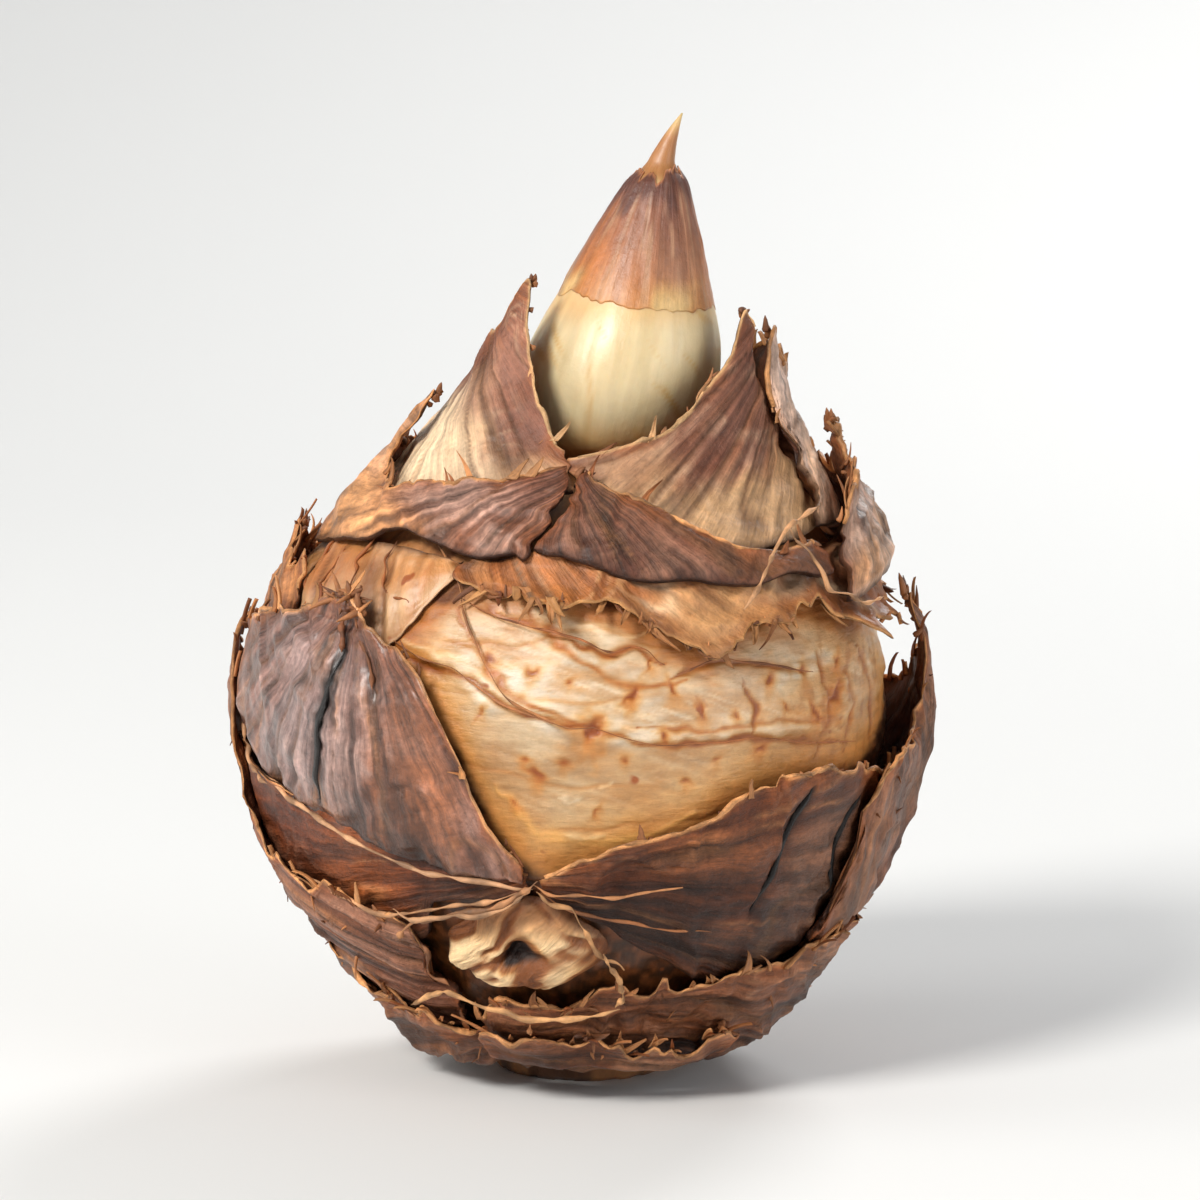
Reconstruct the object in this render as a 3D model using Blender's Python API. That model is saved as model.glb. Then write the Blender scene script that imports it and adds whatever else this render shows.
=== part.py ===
"""Alocasia corm with its shoot, dry scales and a resting side bud, standing on its root scar.

Lengths are metres, +Z is up, the front faces -Y. A place on the corm is written as degrees round
the axis (0 at the front, 90 at +X) and millimetres along the skin, measured up from the foot.
"""

import math
import random

import bmesh
import bpy
from mathutils import Vector, noise

MM = 0.001
SHARP_EDGE_DEG = 40

# The skin: the round surface that the dry scales lie on, as (radius, height) in mm.
SKIN_PROFILE = [
    (5.3, 0.9), (7.4, 2.0), (9.9, 4.2), (12.3, 7.2), (14.5, 11.0), (16.0, 15.2), (16.8, 19.2),
    (16.4, 23.2), (15.0, 26.8), (12.7, 30.0), (10.1, 33.2), (8.0, 36.6), (6.7, 40.2), (5.9, 44.0),
]
LEAN_START_MM = 27.0
LEAN_SLOPE = 0.19
SWELL_SHARE = 0.014
SWELL_TURN = 0.6
SWELL_THREE_SIDED = 0.7
SWELL_TWIST_PER_MM = 0.13

# Flesh of the corm, under the scales.
FLESH_DEPTH_MM = 0.35
CROWN_START_MM = 27.0
CROWN_PROFILE = [(14.6, 27.0), (12.9, 29.2), (10.4, 31.2), (7.2, 32.4), (3.6, 32.85)]
FOOT_PROFILE = [(4.55, 0.0), (4.8, 0.3), (4.85, 1.0)]
FLESH_SIDES = 48
FLESH_ROWS = 22
SCAR_LINE = [(-180, 27.5), (-90, 28.5), (-34, 28.2), (-16, 25.5), (1, 24.2), (17, 23.5), (43, 23.6),
             (90, 25.0), (135, 26.5), (180, 27.5)]
SCAR_STEP_MM = 0.28
SCAR_STEP_WIDTH_MM = 1.2
DIMPLE_DEPTH_MM = 0.12
DIMPLES_AROUND = 3
DIMPLES_PER_MM = 0.16

# Shoot: a pale bud whose tip comes out through a browned sheath, as (radius, height) in mm.
SHOOT_PROFILE = [
    (3.2, 33.3), (4.5, 34.3), (5.1, 35.8), (5.4, 37.8), (5.1, 39.6), (4.35, 41.15), (3.3, 41.4),
    (3.0, 42.6), (2.4, 44.4), (1.5, 46.5), (0.88, 48.2), (0.55, 49.6), (0.28, 50.8), (0.06, 51.6),
]
SHEATH_OUTSIDE = [(4.3, 41.85), (4.05, 42.6), (3.4, 44.4), (2.45, 46.5), (1.8, 48.2), (1.68, 48.7)]
SHEATH_THICKNESS_MM = 0.6
SHEATH_WAVE_MM = 0.13
SHEATH_WAVES = 2
SHEATH_WAVE_TURN_DEG = 40
SHEATH_TORN_MM = (-0.5, 0.25)
SHEATH_SEED = 5
SHOOT_SIDES = 28
TIP_BEND_START_MM = 48.0
TIP_BEND = 0.05

# Side bud: an oval cushion with a pit, as (share of its half size, height in mm).
BUD_PLACE = (-13.0, 12.0)
BUD_HALF_SIZE_MM = (4.6, 2.6)
BUD_FORM = [(1.0, 0.15), (0.93, 0.8), (0.74, 1.35), (0.5, 1.5), (0.3, 1.15), (0.14, 0.75)]
BUD_SIDES = 24

SCALE_THICKNESS_MM = 0.65
RAMP_SHARE = 0.3
COLUMN_DEG = 6.5
SCALE_ROWS = 6

# Each scale: root line and torn rim, both as (degrees, mm along the skin, mm above the skin).
SCALES = {
    "collar_scale_left": dict(
        root=[(-132, 37.6, 1.3), (-112, 36.6, 0.6), (-90, 36.0, 0.3), (-50, 36.2, 0.3), (-12, 37.4, 0.2)],
        rim=[(-132, 45.0, 1.2), (-108, 45.4, 0.5), (-78, 46.4, 0.2), (-66, 48.0, 0.4), (-58, 49.2, 0.6),
             (-50, 47.0, 0.2), (-33, 43.2, -0.4), (-20, 40.9, -0.5), (-12, 39.8, -0.5)],
        belly=0.25, tear=0.25, seed=11),
    "collar_scale_right": dict(
        root=[(-8, 37.8, 0.2), (12, 36.0, 0.2), (36, 33.4, 0.3), (52, 33.8, 0.2), (66, 34.6, 0.2)],
        rim=[(-8, 39.6, -0.5), (17, 41.0, -0.5), (33, 43.2, -0.3), (49, 45.4, 0.1), (59, 47.6, 0.2),
             (66, 46.0, 0.0)],
        belly=0.25, tear=0.2, seed=12),
    "collar_scale_side": dict(
        root=[(60, 34.2, 1.4), (68, 34.1, 1.35), (80, 34.0, 0.7), (95, 34.0, 0.3), (131, 34.6, 0.2)],
        rim=[(60, 40.0, 1.4), (66, 45.0, 1.45), (72, 46.6, 1.5), (84, 43.6, 1.0), (105, 44.8, 0.4),
             (131, 43.0, 0.2)],
        belly=0.15, tear=0.3, seed=13),
    "collar_scale_back": dict(
        root=[(134, 36.0, 0.2), (180, 35.6, 0.2), (232, 36.0, 0.2)],
        rim=[(134, 43.6, 0.0), (160, 46.4, 0.2), (178, 48.4, 0.6), (196, 46.2, 0.2), (232, 44.6, 0.0)],
        belly=0.4, tear=0.3, seed=14),
    "neck_scale_left": dict(
        root=[(-122, 33.0, 1.2), (-90, 32.6, 1.2), (-62, 33.4, 1.1), (-48, 35.2, 1.1), (-38, 34.9, 1.0),
              (-22, 34.1, 0.95), (-14, 34.4, 0.95), (-11, 36.0, 0.95)],
        rim=[(-122, 38.4, 1.9), (-96, 39.0, 1.7), (-83, 41.6, 2.2), (-70, 38.6, 1.6), (-53, 37.2, 1.5),
             (-30, 37.9, 1.45), (-11, 38.6, 1.3)],
        belly=0.0, tear=0.35, seed=21),
    "neck_scale_right": dict(
        root=[(-9, 35.4, 1.2), (-5, 33.6, 1.2), (3, 32.6, 1.3), (20, 31.8, 1.35), (36, 31.2, 1.35),
              (56, 31.6, 1.3)],
        rim=[(-9, 38.4, 1.35), (6, 36.6, 1.45), (20, 34.9, 1.5), (36, 32.9, 1.5), (56, 33.2, 1.4)],
        belly=0.0, tear=0.15, seed=22),
    "neck_scale_side": dict(
        root=[(59, 30.2, 2.2), (70, 30.3, 2.4), (80, 30.4, 2.3), (104, 30.6, 2.15), (130, 31.0, 2.2)],
        rim=[(59, 33.4, 2.5), (70, 35.2, 2.6), (80, 36.6, 2.6), (88, 39.0, 2.9), (97, 36.4, 2.3),
             (130, 36.0, 2.2)],
        belly=0.0, tear=0.4, seed=23),
    "neck_scale_back": dict(
        root=[(124, 31.0, 1.2), (150, 31.6, 1.3), (195, 31.4, 1.3), (236, 31.6, 1.2)],
        rim=[(124, 35.4, 1.2), (150, 38.6, 1.5), (168, 37.0, 1.5), (196, 40.2, 1.8), (214, 37.4, 1.5),
             (236, 35.0, 1.2)],
        belly=0.0, tear=0.4, seed=24),
    "skirt_scale_right": dict(
        root=[(-26, 33.4, 0.0), (0, 34.0, 0.0), (34, 33.0, 0.0), (66, 33.4, 0.0), (112, 33.4, 0.0)],
        rim=[(-26, 31.0, 0.1), (-10, 31.2, 0.1), (5, 30.4, 0.1), (15, 28.8, 0.2), (24, 27.6, 0.3),
             (36, 29.6, 0.2), (50, 29.8, 0.2), (64, 28.4, 0.3), (78, 28.8, 0.5), (90, 29.6, 0.8),
             (100, 28.0, 0.4), (112, 28.4, 0.1)],
        belly=0.1, tear=0.5, seed=31),
    "skirt_scale_left": dict(
        root=[(-112, 33.4, 0.0), (-80, 33.6, 0.0), (-50, 33.6, 0.0), (-28, 33.2, 0.0)],
        rim=[(-112, 25.4, 0.0), (-80, 25.2, 0.0), (-56, 25.2, 0.0), (-44, 26.6, 0.0), (-35, 29.2, 0.0),
             (-28, 32.4, 0.0)],
        belly=0.1, tear=0.4, seed=32),
    "skirt_scale_back": dict(
        root=[(114, 33.4, 0.0), (180, 33.0, 0.0), (246, 33.4, 0.0)],
        rim=[(114, 28.2, 0.2), (132, 26.0, 0.3), (150, 27.6, 0.2), (172, 25.0, 0.2), (200, 27.6, 0.3),
             (222, 25.4, 0.3), (246, 25.8, 0.1)],
        belly=0.1, tear=0.6, seed=33),
    "shoulder_scale_left": dict(
        root=[(-134, 27.4, 1.3), (-108, 26.8, 1.2), (-90, 26.9, 1.05), (-70, 28.8, 1.0)],
        rim=[(-134, 30.6, 1.3), (-112, 31.0, 1.2), (-98, 31.6, 1.4), (-90, 32.0, 2.0), (-82, 31.2, 1.4),
             (-70, 30.6, 1.1)],
        belly=0.0, tear=0.4, seed=34),
    "side_scale_left": dict(
        root=[(-98, 20.4, 0.95), (-71, 19.8, 0.95), (-47, 18.4, 0.95), (-31, 17.2, 0.95), (-9, 16.5, 0.8)],
        rim=[(-98, 25.6, 1.0), (-75, 27.4, 1.1), (-60, 28.6, 1.3), (-48, 30.2, 1.7), (-41, 29.0, 1.3),
             (-30, 27.2, 0.95), (-22, 24.0, 0.7), (-16, 19.8, 0.6), (-9, 17.3, 0.6)],
        belly=0.3, tear=0.3, seed=41),
    "inner_scale_left": dict(
        root=[(-82, 11.5, 0.0), (-62, 11.5, 0.0), (-43, 11.5, 0.0), (-35, 12.4, 0.0), (-30, 14.8, 0.0),
              (-11, 15.6, 0.0)],
        rim=[(-82, 20.8, 0.0), (-62, 19.8, 0.0), (-47, 19.0, 0.0), (-31, 17.8, 0.0), (-20, 17.4, 0.0),
             (-11, 17.0, 0.0)],
        belly=0.0, tear=0.1, seed=42),
    "side_scale_right": dict(
        root=[(-7, 15.8, 0.2), (1, 14.4, 0.2), (14, 11.8, 0.2), (34, 9.4, 0.2), (50, 9.8, 0.2),
              (66, 12.4, 0.2), (92, 14.0, 0.2)],
        rim=[(-7, 16.8, 0.4), (10, 18.7, 0.4), (21, 19.5, 0.4), (30, 20.9, 0.4), (43, 21.7, 0.35),
             (66, 20.8, 0.2), (92, 20.0, 0.2)],
        belly=0.1, tear=0.2, seed=43),
    "outer_scale_right": dict(
        root=[(60, 10.6, 1.25), (67, 10.4, 1.15), (78, 9.6, 0.4), (100, 9.2, 0.2), (126, 9.6, 0.5),
              (138, 9.8, 1.25), (148, 9.8, 1.25)],
        rim=[(60, 14.6, 1.3), (61.5, 19.8, 1.3), (68, 21.6, 1.3), (78, 22.4, 1.35), (85, 24.4, 1.5),
             (90, 28.6, 2.0), (95, 26.0, 1.6), (118, 23.2, 1.3), (148, 24.6, 1.25)],
        belly=0.2, tear=0.4, seed=44),
    "outer_scale_left": dict(
        root=[(205, 9.6, 1.25), (216, 9.4, 1.25), (238, 9.2, 0.5), (258, 8.6, 0.3), (280, 6.4, 0.2),
              (300, 5.6, 0.2), (318, 5.2, 0.2), (326, 6.6, 0.2)],
        rim=[(205, 21.0, 1.25), (224, 25.4, 1.35), (240, 24.0, 1.4), (254, 24.6, 1.9), (264, 26.6, 2.6),
             (268, 24.6, 2.6), (272, 21.0, 2.5), (277, 17.8, 2.3), (286, 16.4, 1.7), (298, 15.2, 1.15),
             (316, 13.9, 0.95), (323, 13.6, 0.95), (326, 11.4, 0.95)],
        belly=0.0, tear=0.4, ramp=0.75, seed=45),
    "back_scale": dict(
        root=[(143, 9.4, 0.2), (180, 8.8, 0.2), (212, 9.4, 0.2)],
        rim=[(143, 20.0, 0.2), (156, 24.0, 0.25), (170, 24.4, 0.3), (180, 24.4, 0.3), (192, 24.0, 0.25),
             (212, 20.0, 0.2)],
        belly=0.0, tear=0.4, seed=46),
    "base_scale_left": dict(
        root=[(-126, 2.0, 0.0), (-80, 1.8, 0.0), (-35, 1.8, 0.0)],
        rim=[(-126, 9.4, 1.9), (-104, 9.8, 2.0), (-88, 11.4, 2.6), (-76, 9.4, 2.2), (-62, 8.2, 2.0),
             (-48, 7.0, 1.95), (-35, 6.2, 1.9)],
        belly=0.0, tear=0.5, seed=52),
    "base_scale_right": dict(
        root=[(-31, 1.8, 0.0), (0, 1.7, 0.0), (45, 1.8, 0.0), (96, 2.0, 0.0)],
        rim=[(-31, 7.6, 1.1), (-20, 8.4, 1.15), (-4, 8.4, 1.2), (12, 9.4, 1.2), (34, 10.2, 1.3),
             (49, 11.0, 2.2), (70, 11.4, 2.45), (84, 12.4, 2.6), (96, 10.8, 2.3)],
        belly=0.0, tear=0.5, seed=53),
    "foot_scale_front": dict(
        root=[(-32, 4.0, 2.0), (0, 4.0, 2.0), (44, 4.2, 2.3)],
        rim=[(-32, 6.6, 2.2), (-15, 6.5, 2.2), (1, 6.2, 2.2), (17, 5.9, 2.3), (31, 6.4, 2.6),
             (44, 7.6, 2.9)],
        belly=0.0, tear=0.35, seed=55),
    "base_scale_back": dict(
        root=[(101, 2.0, 0.0), (165, 1.8, 0.0), (229, 2.0, 0.0)],
        rim=[(101, 10.0, 2.0), (126, 12.4, 2.4), (150, 10.6, 2.4), (182, 12.6, 2.3), (206, 10.4, 2.3),
             (229, 9.8, 1.9)],
        belly=0.0, tear=0.6, seed=54),
}

# Short stiff stubs on the outer scales: scale, share across, share up, length in mm.
STUB_SIDES = 5
STUB_RADIUS_MM = 0.42
STUB_TIP_RADIUS_MM = 0.12
STUB_RISE = 0.2
STUB_SUNK_MM = 0.33
STUBS = [
    ("base_scale_left", 0.12, 0.55, 1.5), ("base_scale_left", 0.38, 0.72, 1.7),
    ("base_scale_left", 0.62, 0.6, 1.5), ("base_scale_left", 0.88, 0.62, 1.3),
    ("base_scale_right", 0.2, 0.78, 1.1), ("base_scale_right", 0.52, 0.78, 1.3),
    ("base_scale_right", 0.72, 0.72, 1.6), ("base_scale_right", 0.9, 0.66, 1.7),
    ("base_scale_back", 0.12, 0.62, 1.6), ("base_scale_back", 0.36, 0.52, 1.4),
    ("base_scale_back", 0.64, 0.66, 1.7), ("base_scale_back", 0.88, 0.56, 1.5),
    ("outer_scale_left", 0.36, 0.62, 1.3), ("outer_scale_left", 0.62, 0.66, 1.4),
    ("outer_scale_right", 0.5, 0.5, 1.4), ("outer_scale_right", 0.78, 0.62, 1.3),
]

COLOURS = {
    "flesh": ((0.79, 0.56, 0.36), 0.45),
    "shoot": ((0.86, 0.76, 0.53), 0.4),
    "sheath": ((0.52, 0.28, 0.17), 0.55),
    "tan_scale": ((0.66, 0.42, 0.25), 0.6),
    "brown_scale": ((0.23, 0.13, 0.09), 0.7),
    "side_bud": ((0.68, 0.50, 0.31), 0.6),
}
TAN_SCALES = ("collar_scale_left", "collar_scale_right", "skirt_scale_left", "skirt_scale_right",
              "skirt_scale_back")


def clear_scene():
    for obj in list(bpy.data.objects):
        bpy.data.objects.remove(obj)


def make_materials():
    made = {}
    for name, (colour, roughness) in COLOURS.items():
        material = bpy.data.materials.new(name)
        material.use_nodes = True
        shader = material.node_tree.nodes["Principled BSDF"]
        shader.inputs["Base Color"].default_value = (*colour, 1.0)
        shader.inputs["Roughness"].default_value = roughness
        shader.inputs["Metallic"].default_value = 0.0
        made[name] = material
    return made


def on_curve(points, share):
    """The point at a share of a smooth curve through the points, with any number of coordinates."""
    last = len(points) - 1
    place = min(max(share, 0.0), 1.0) * last
    i = min(int(place), last - 1)
    t = place - i
    b, c = points[i], points[i + 1]
    a = points[i - 1] if i > 0 else [2 * p - q for p, q in zip(b, c)]
    d = points[i + 2] if i + 2 <= last else [2 * q - p for p, q in zip(b, c)]
    return [
        0.5 * (2 * q + (r - p) * t + (2 * p - 5 * q + 4 * r - s) * t * t + (3 * q - p - 3 * r + s) * t ** 3)
        for p, q, r, s in zip(a, b, c, d)
    ]


def measured_curve(points, steps=400):
    """Samples of the smooth curve as (length so far, radius, height)."""
    samples = []
    length = 0.0
    previous = None
    for i in range(steps + 1):
        r, z = on_curve(points, i / steps)
        if previous:
            length += math.hypot(r - previous[0], z - previous[1])
        samples.append((length, r, z))
        previous = (r, z)
    return samples


SKIN = measured_curve(SKIN_PROFILE)


def skin_section(along):
    """Radius, height and outward direction of the skin at a distance along it, in mm."""
    along = min(max(along, 0.0), SKIN[-1][0])
    i = next(n for n in range(1, len(SKIN)) if SKIN[n][0] >= along)
    (s0, r0, z0), (s1, r1, z1) = SKIN[i - 1], SKIN[i]
    t = (along - s0) / (s1 - s0)
    span = math.hypot(r1 - r0, z1 - z0)
    return r0 + t * (r1 - r0), z0 + t * (z1 - z0), (z1 - z0) / span, (r0 - r1) / span


def axis_shift(z):
    """How far the corm's axis has moved to +X at a height, in mm."""
    above = max(0.0, z - LEAN_START_MM)
    bend = max(0.0, z - TIP_BEND_START_MM)
    return LEAN_SLOPE * above + TIP_BEND * bend * bend


def swell(degrees, z):
    """The corm isn't quite round: its radius at these degrees, as a multiple."""
    a = math.radians(degrees)
    three_sided = SWELL_THREE_SIDED * math.sin(3 * a + SWELL_TWIST_PER_MM * z)
    return 1 + SWELL_SHARE * (math.sin(2 * a + SWELL_TURN) + three_sided)


def placed(degrees, radius, z):
    a = math.radians(degrees)
    r = radius * swell(degrees, z)
    return Vector((r * math.sin(a) + axis_shift(z), -r * math.cos(a), z)) * MM


def on_skin(degrees, along, above):
    r, z, out_r, out_z = skin_section(along)
    return placed(degrees, r + above * out_r, z + above * out_z)


def smooth_step(t):
    t = min(max(t, 0.0), 1.0)
    return t * t * (3 - 2 * t)


def new_object(name, mesh_data, material):
    mesh = bpy.data.meshes.new(name)
    mesh_data.to_mesh(mesh)
    mesh_data.free()
    mesh.materials.append(material)
    mesh.shade_smooth()
    mesh.set_sharp_from_angle(angle=math.radians(SHARP_EDGE_DEG))
    obj = bpy.data.objects.new(name, mesh)
    bpy.context.scene.collection.objects.link(obj)
    return obj


def rings_solid(rings):
    """A closed body through rings of points, bottom to top, with both ends filled."""
    bm = bmesh.new()
    loops = [[bm.verts.new(p) for p in ring] for ring in rings]
    for low, high in zip(loops, loops[1:]):
        for i in range(len(low)):
            j = (i + 1) % len(low)
            bm.faces.new((low[i], low[j], high[j], high[i]))
    bm.faces.new(list(reversed(loops[0])))
    bm.faces.new(loops[-1])
    bmesh.ops.triangulate(bm, faces=bm.faces[:])
    bmesh.ops.recalc_face_normals(bm, faces=bm.faces[:])
    return bm


def scar_along(degrees):
    """Where the line of the old leaf scar runs at these degrees, in mm along the skin."""
    turned = (degrees + 180) % 360 - 180
    for (d0, a0), (d1, a1) in zip(SCAR_LINE, SCAR_LINE[1:]):
        if d0 <= turned <= d1:
            return a0 + (a1 - a0) * smooth_step((turned - d0) / (d1 - d0))
    return SCAR_LINE[-1][1]


def flesh_relief(degrees, along):
    """The skin above the scar line stands a little proud of the bare flesh below it."""
    above_line = smooth_step((along - scar_along(degrees)) / SCAR_STEP_WIDTH_MM + 0.5)
    a = math.radians(degrees)
    place = Vector((DIMPLES_AROUND * math.sin(a), DIMPLES_AROUND * math.cos(a), along * DIMPLES_PER_MM))
    return SCAR_STEP_MM * (above_line - 1) + DIMPLE_DEPTH_MM * (noise.noise(place) - 1)


def make_flesh(material):
    crown_along = next(s for s, r, z in SKIN if z >= CROWN_START_MM)
    rings = []
    steps = [360 * k / FLESH_SIDES for k in range(FLESH_SIDES)]
    for r, z in FOOT_PROFILE:
        rings.append([placed(d, r, z) for d in steps])
    for row in range(1, FLESH_ROWS + 1):
        along = crown_along * row / FLESH_ROWS
        rings.append([on_skin(d, along, flesh_relief(d, along) - FLESH_DEPTH_MM) for d in steps])
    for r, z in CROWN_PROFILE[1:]:
        rings.append([placed(d, r - FLESH_DEPTH_MM, z) for d in steps])
    return new_object("corm_flesh", rings_solid(rings), material)


def make_shoot(material):
    steps = [360 * k / SHOOT_SIDES for k in range(SHOOT_SIDES)]
    rings = [[placed(d, r, z) for d in steps] for r, z in SHOOT_PROFILE]
    return new_object("shoot", rings_solid(rings), material)


def make_sheath(material):
    """A browned sleeve round the upper shoot, with a waved hem and a torn mouth."""
    draw = random.Random(SHEATH_SEED)
    torn_mouth = [draw.uniform(*SHEATH_TORN_MM) for _ in range(SHOOT_SIDES)]
    last = len(SHEATH_OUTSIDE) - 1
    bm = bmesh.new()
    outside, inside = [], []
    for row, (r, z) in enumerate(SHEATH_OUTSIDE):
        outer_ring, inner_ring = [], []
        for k in range(SHOOT_SIDES):
            d = 360 * k / SHOOT_SIDES
            height = z + (torn_mouth[k] if row == last else 0.0)
            if row == 0:
                turn = math.radians(SHEATH_WAVES * d + SHEATH_WAVE_TURN_DEG)
                height += SHEATH_WAVE_MM * math.sin(turn)
            outer_ring.append(bm.verts.new(placed(d, r, height)))
            inner_ring.append(bm.verts.new(placed(d, r - SHEATH_THICKNESS_MM, height)))
        outside.append(outer_ring)
        inside.append(inner_ring)
    for k in range(SHOOT_SIDES):
        n = (k + 1) % SHOOT_SIDES
        for row in range(last):
            bm.faces.new((outside[row][k], outside[row][n], outside[row + 1][n], outside[row + 1][k]))
            bm.faces.new((inside[row][n], inside[row][k], inside[row + 1][k], inside[row + 1][n]))
        bm.faces.new((outside[0][n], outside[0][k], inside[0][k], inside[0][n]))
        bm.faces.new((outside[last][k], outside[last][n], inside[last][n], inside[last][k]))
    bmesh.ops.triangulate(bm, faces=bm.faces[:])
    bmesh.ops.recalc_face_normals(bm, faces=bm.faces[:])
    return new_object("shoot_sheath", bm, material)


def make_side_bud(material):
    """An oval cushion round a pit, standing on the skin."""
    degrees, along = BUD_PLACE
    r = skin_section(along)[0]
    half_degrees = math.degrees(BUD_HALF_SIZE_MM[0] / r)
    rings = []
    for share, height in [(1.0, 0.0)] + BUD_FORM:
        ring = []
        for k in range(BUD_SIDES):
            a = 2 * math.pi * k / BUD_SIDES
            ring.append(on_skin(degrees + half_degrees * share * math.cos(a),
                                along + BUD_HALF_SIZE_MM[1] * share * math.sin(a), height))
        rings.append(ring)
    return new_object("side_bud", rings_solid(rings), material)


def edge_at(points, degrees):
    """A scale's root line or rim at these degrees, as (mm along, mm above), without overshoot."""
    last = len(points) - 1
    i = next((n for n in range(last) if degrees <= points[n + 1][0]), last - 1)
    (d0, *low), (d1, *high) = points[i], points[i + 1]
    t = (degrees - d0) / (d1 - d0)
    found = []
    for c in (1, 2):
        slopes = []
        for n in (i, i + 1):
            if n in (0, last):
                slopes.append((high[c - 1] - low[c - 1]) / (d1 - d0))
                continue
            before = (points[n][c] - points[n - 1][c]) / (points[n][0] - points[n - 1][0])
            after = (points[n + 1][c] - points[n][c]) / (points[n + 1][0] - points[n][0])
            level = before * after <= 0
            slopes.append(0.0 if level else 2 * before * after / (before + after))
        p, q, m, k = low[c - 1], high[c - 1], slopes[0] * (d1 - d0), slopes[1] * (d1 - d0)
        found.append(p + m * t + (3 * (q - p) - 2 * m - k) * t * t + (2 * (p - q) + m + k) * t ** 3)
    return found


def scale_point(scale, degrees, v, above):
    """A point of a scale at these degrees; v runs from its root to its torn rim."""
    root, rim = edge_at(scale["root"], degrees), edge_at(scale["rim"], degrees)
    along = root[0] + v * (rim[0] - root[0])
    height = root[1] + smooth_step(v / scale.get("ramp", RAMP_SHARE)) * (rim[1] - root[1])
    height += scale["belly"] * 4 * v * (1 - v)
    return on_skin(degrees, along, height + above)


def scale_columns(scale):
    """The degrees of a scale's columns: one at each rim point, and even ones between them."""
    marks = [point[0] for point in scale["rim"]]
    columns = [marks[0]]
    for low, high in zip(marks, marks[1:]):
        parts = max(1, round((high - low) / COLUMN_DEG))
        columns += [low + (high - low) * (n + 1) / parts for n in range(parts)]
    return columns


def make_scale(name, scale, material):
    """A thin curved plate: the same triangles on both faces, joined round the edge."""
    draw = random.Random(scale["seed"])
    columns = scale_columns(scale)
    reach = []
    for degrees in columns:
        length = abs(edge_at(scale["rim"], degrees)[0] - edge_at(scale["root"], degrees)[0])
        reach.append(1 + draw.uniform(-1, 1) * scale["tear"] / length)
    bm = bmesh.new()
    grids = []
    for above in (0.0, SCALE_THICKNESS_MM):
        grids.append([
            [bm.verts.new(scale_point(scale, degrees, j / SCALE_ROWS * reach[i], above))
             for j in range(SCALE_ROWS + 1)]
            for i, degrees in enumerate(columns)
        ])
    inner, outer = grids
    last = len(columns) - 1
    for i in range(last):
        for j in range(SCALE_ROWS):
            for grid in grids:
                bm.faces.new((grid[i][j], grid[i + 1][j], grid[i + 1][j + 1]))
                bm.faces.new((grid[i][j], grid[i + 1][j + 1], grid[i][j + 1]))
    edge = [(i, 0) for i in range(last)] + [(last, j) for j in range(SCALE_ROWS)]
    edge += [(i, SCALE_ROWS) for i in range(last, 0, -1)] + [(0, j) for j in range(SCALE_ROWS, 0, -1)]
    for (i, j), (k, m) in zip(edge, edge[1:] + edge[:1]):
        bm.faces.new((inner[i][j], inner[k][m], outer[k][m]))
        bm.faces.new((inner[i][j], outer[k][m], outer[i][j]))
    bmesh.ops.recalc_face_normals(bm, faces=bm.faces[:])
    return new_object(name, bm, material)


def make_stub(scale, u, v, length):
    """A short cone that stands out of a scale, its root inside the scale's thickness."""
    first, last = scale["rim"][0][0], scale["rim"][-1][0]
    degrees = first + u * (last - first)
    foot = scale_point(scale, degrees, v, SCALE_THICKNESS_MM)
    away = (foot - scale_point(scale, degrees, v, 0.0)).normalized()
    away = (away + Vector((0, 0, STUB_RISE))).normalized()
    bm = bmesh.new()
    bmesh.ops.create_cone(bm, cap_ends=True, segments=STUB_SIDES, radius1=STUB_RADIUS_MM * MM,
                          radius2=STUB_TIP_RADIUS_MM * MM, depth=(length + STUB_SUNK_MM) * MM)
    turn = Vector((0, 0, 1)).rotation_difference(away).to_matrix()
    bmesh.ops.rotate(bm, verts=bm.verts[:], matrix=turn)
    bmesh.ops.translate(bm, verts=bm.verts[:], vec=foot + away * (length - STUB_SUNK_MM) / 2 * MM)
    bmesh.ops.triangulate(bm, faces=bm.faces[:])
    bmesh.ops.recalc_face_normals(bm, faces=bm.faces[:])
    return bm


def fuse_stubs(obj, material):
    """Joins the scale's stubs to it with one Boolean union, and removes the loose ones."""
    own = [stub for stub in STUBS if stub[0] == obj.name]
    if not own:
        return
    group = bpy.data.collections.new(obj.name + "_stubs")
    bpy.context.scene.collection.children.link(group)
    for n, (_, u, v, length) in enumerate(own):
        loose = make_stub(SCALES[obj.name], u, v, length)
        stub = new_object(f"{obj.name}_stub_{n}", loose, material)
        bpy.context.scene.collection.objects.unlink(stub)
        group.objects.link(stub)
    union = obj.modifiers.new("join stubs", "BOOLEAN")
    union.operation = "UNION"
    union.solver = "EXACT"
    union.operand_type = "COLLECTION"
    union.collection = group
    bpy.context.view_layer.update()
    graph = bpy.context.evaluated_depsgraph_get()
    joined = bpy.data.meshes.new_from_object(obj.evaluated_get(graph))
    obj.modifiers.clear()
    obj.data = joined
    for stub in list(group.objects):
        bpy.data.objects.remove(stub)
    bpy.data.collections.remove(group)


def main():
    clear_scene()
    materials = make_materials()
    make_flesh(materials["flesh"])
    make_shoot(materials["shoot"])
    make_sheath(materials["sheath"])
    make_side_bud(materials["side_bud"])
    for name, scale in SCALES.items():
        material = materials["tan_scale" if name in TAN_SCALES else "brown_scale"]
        fuse_stubs(make_scale(name, scale, material), material)


main()
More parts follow.
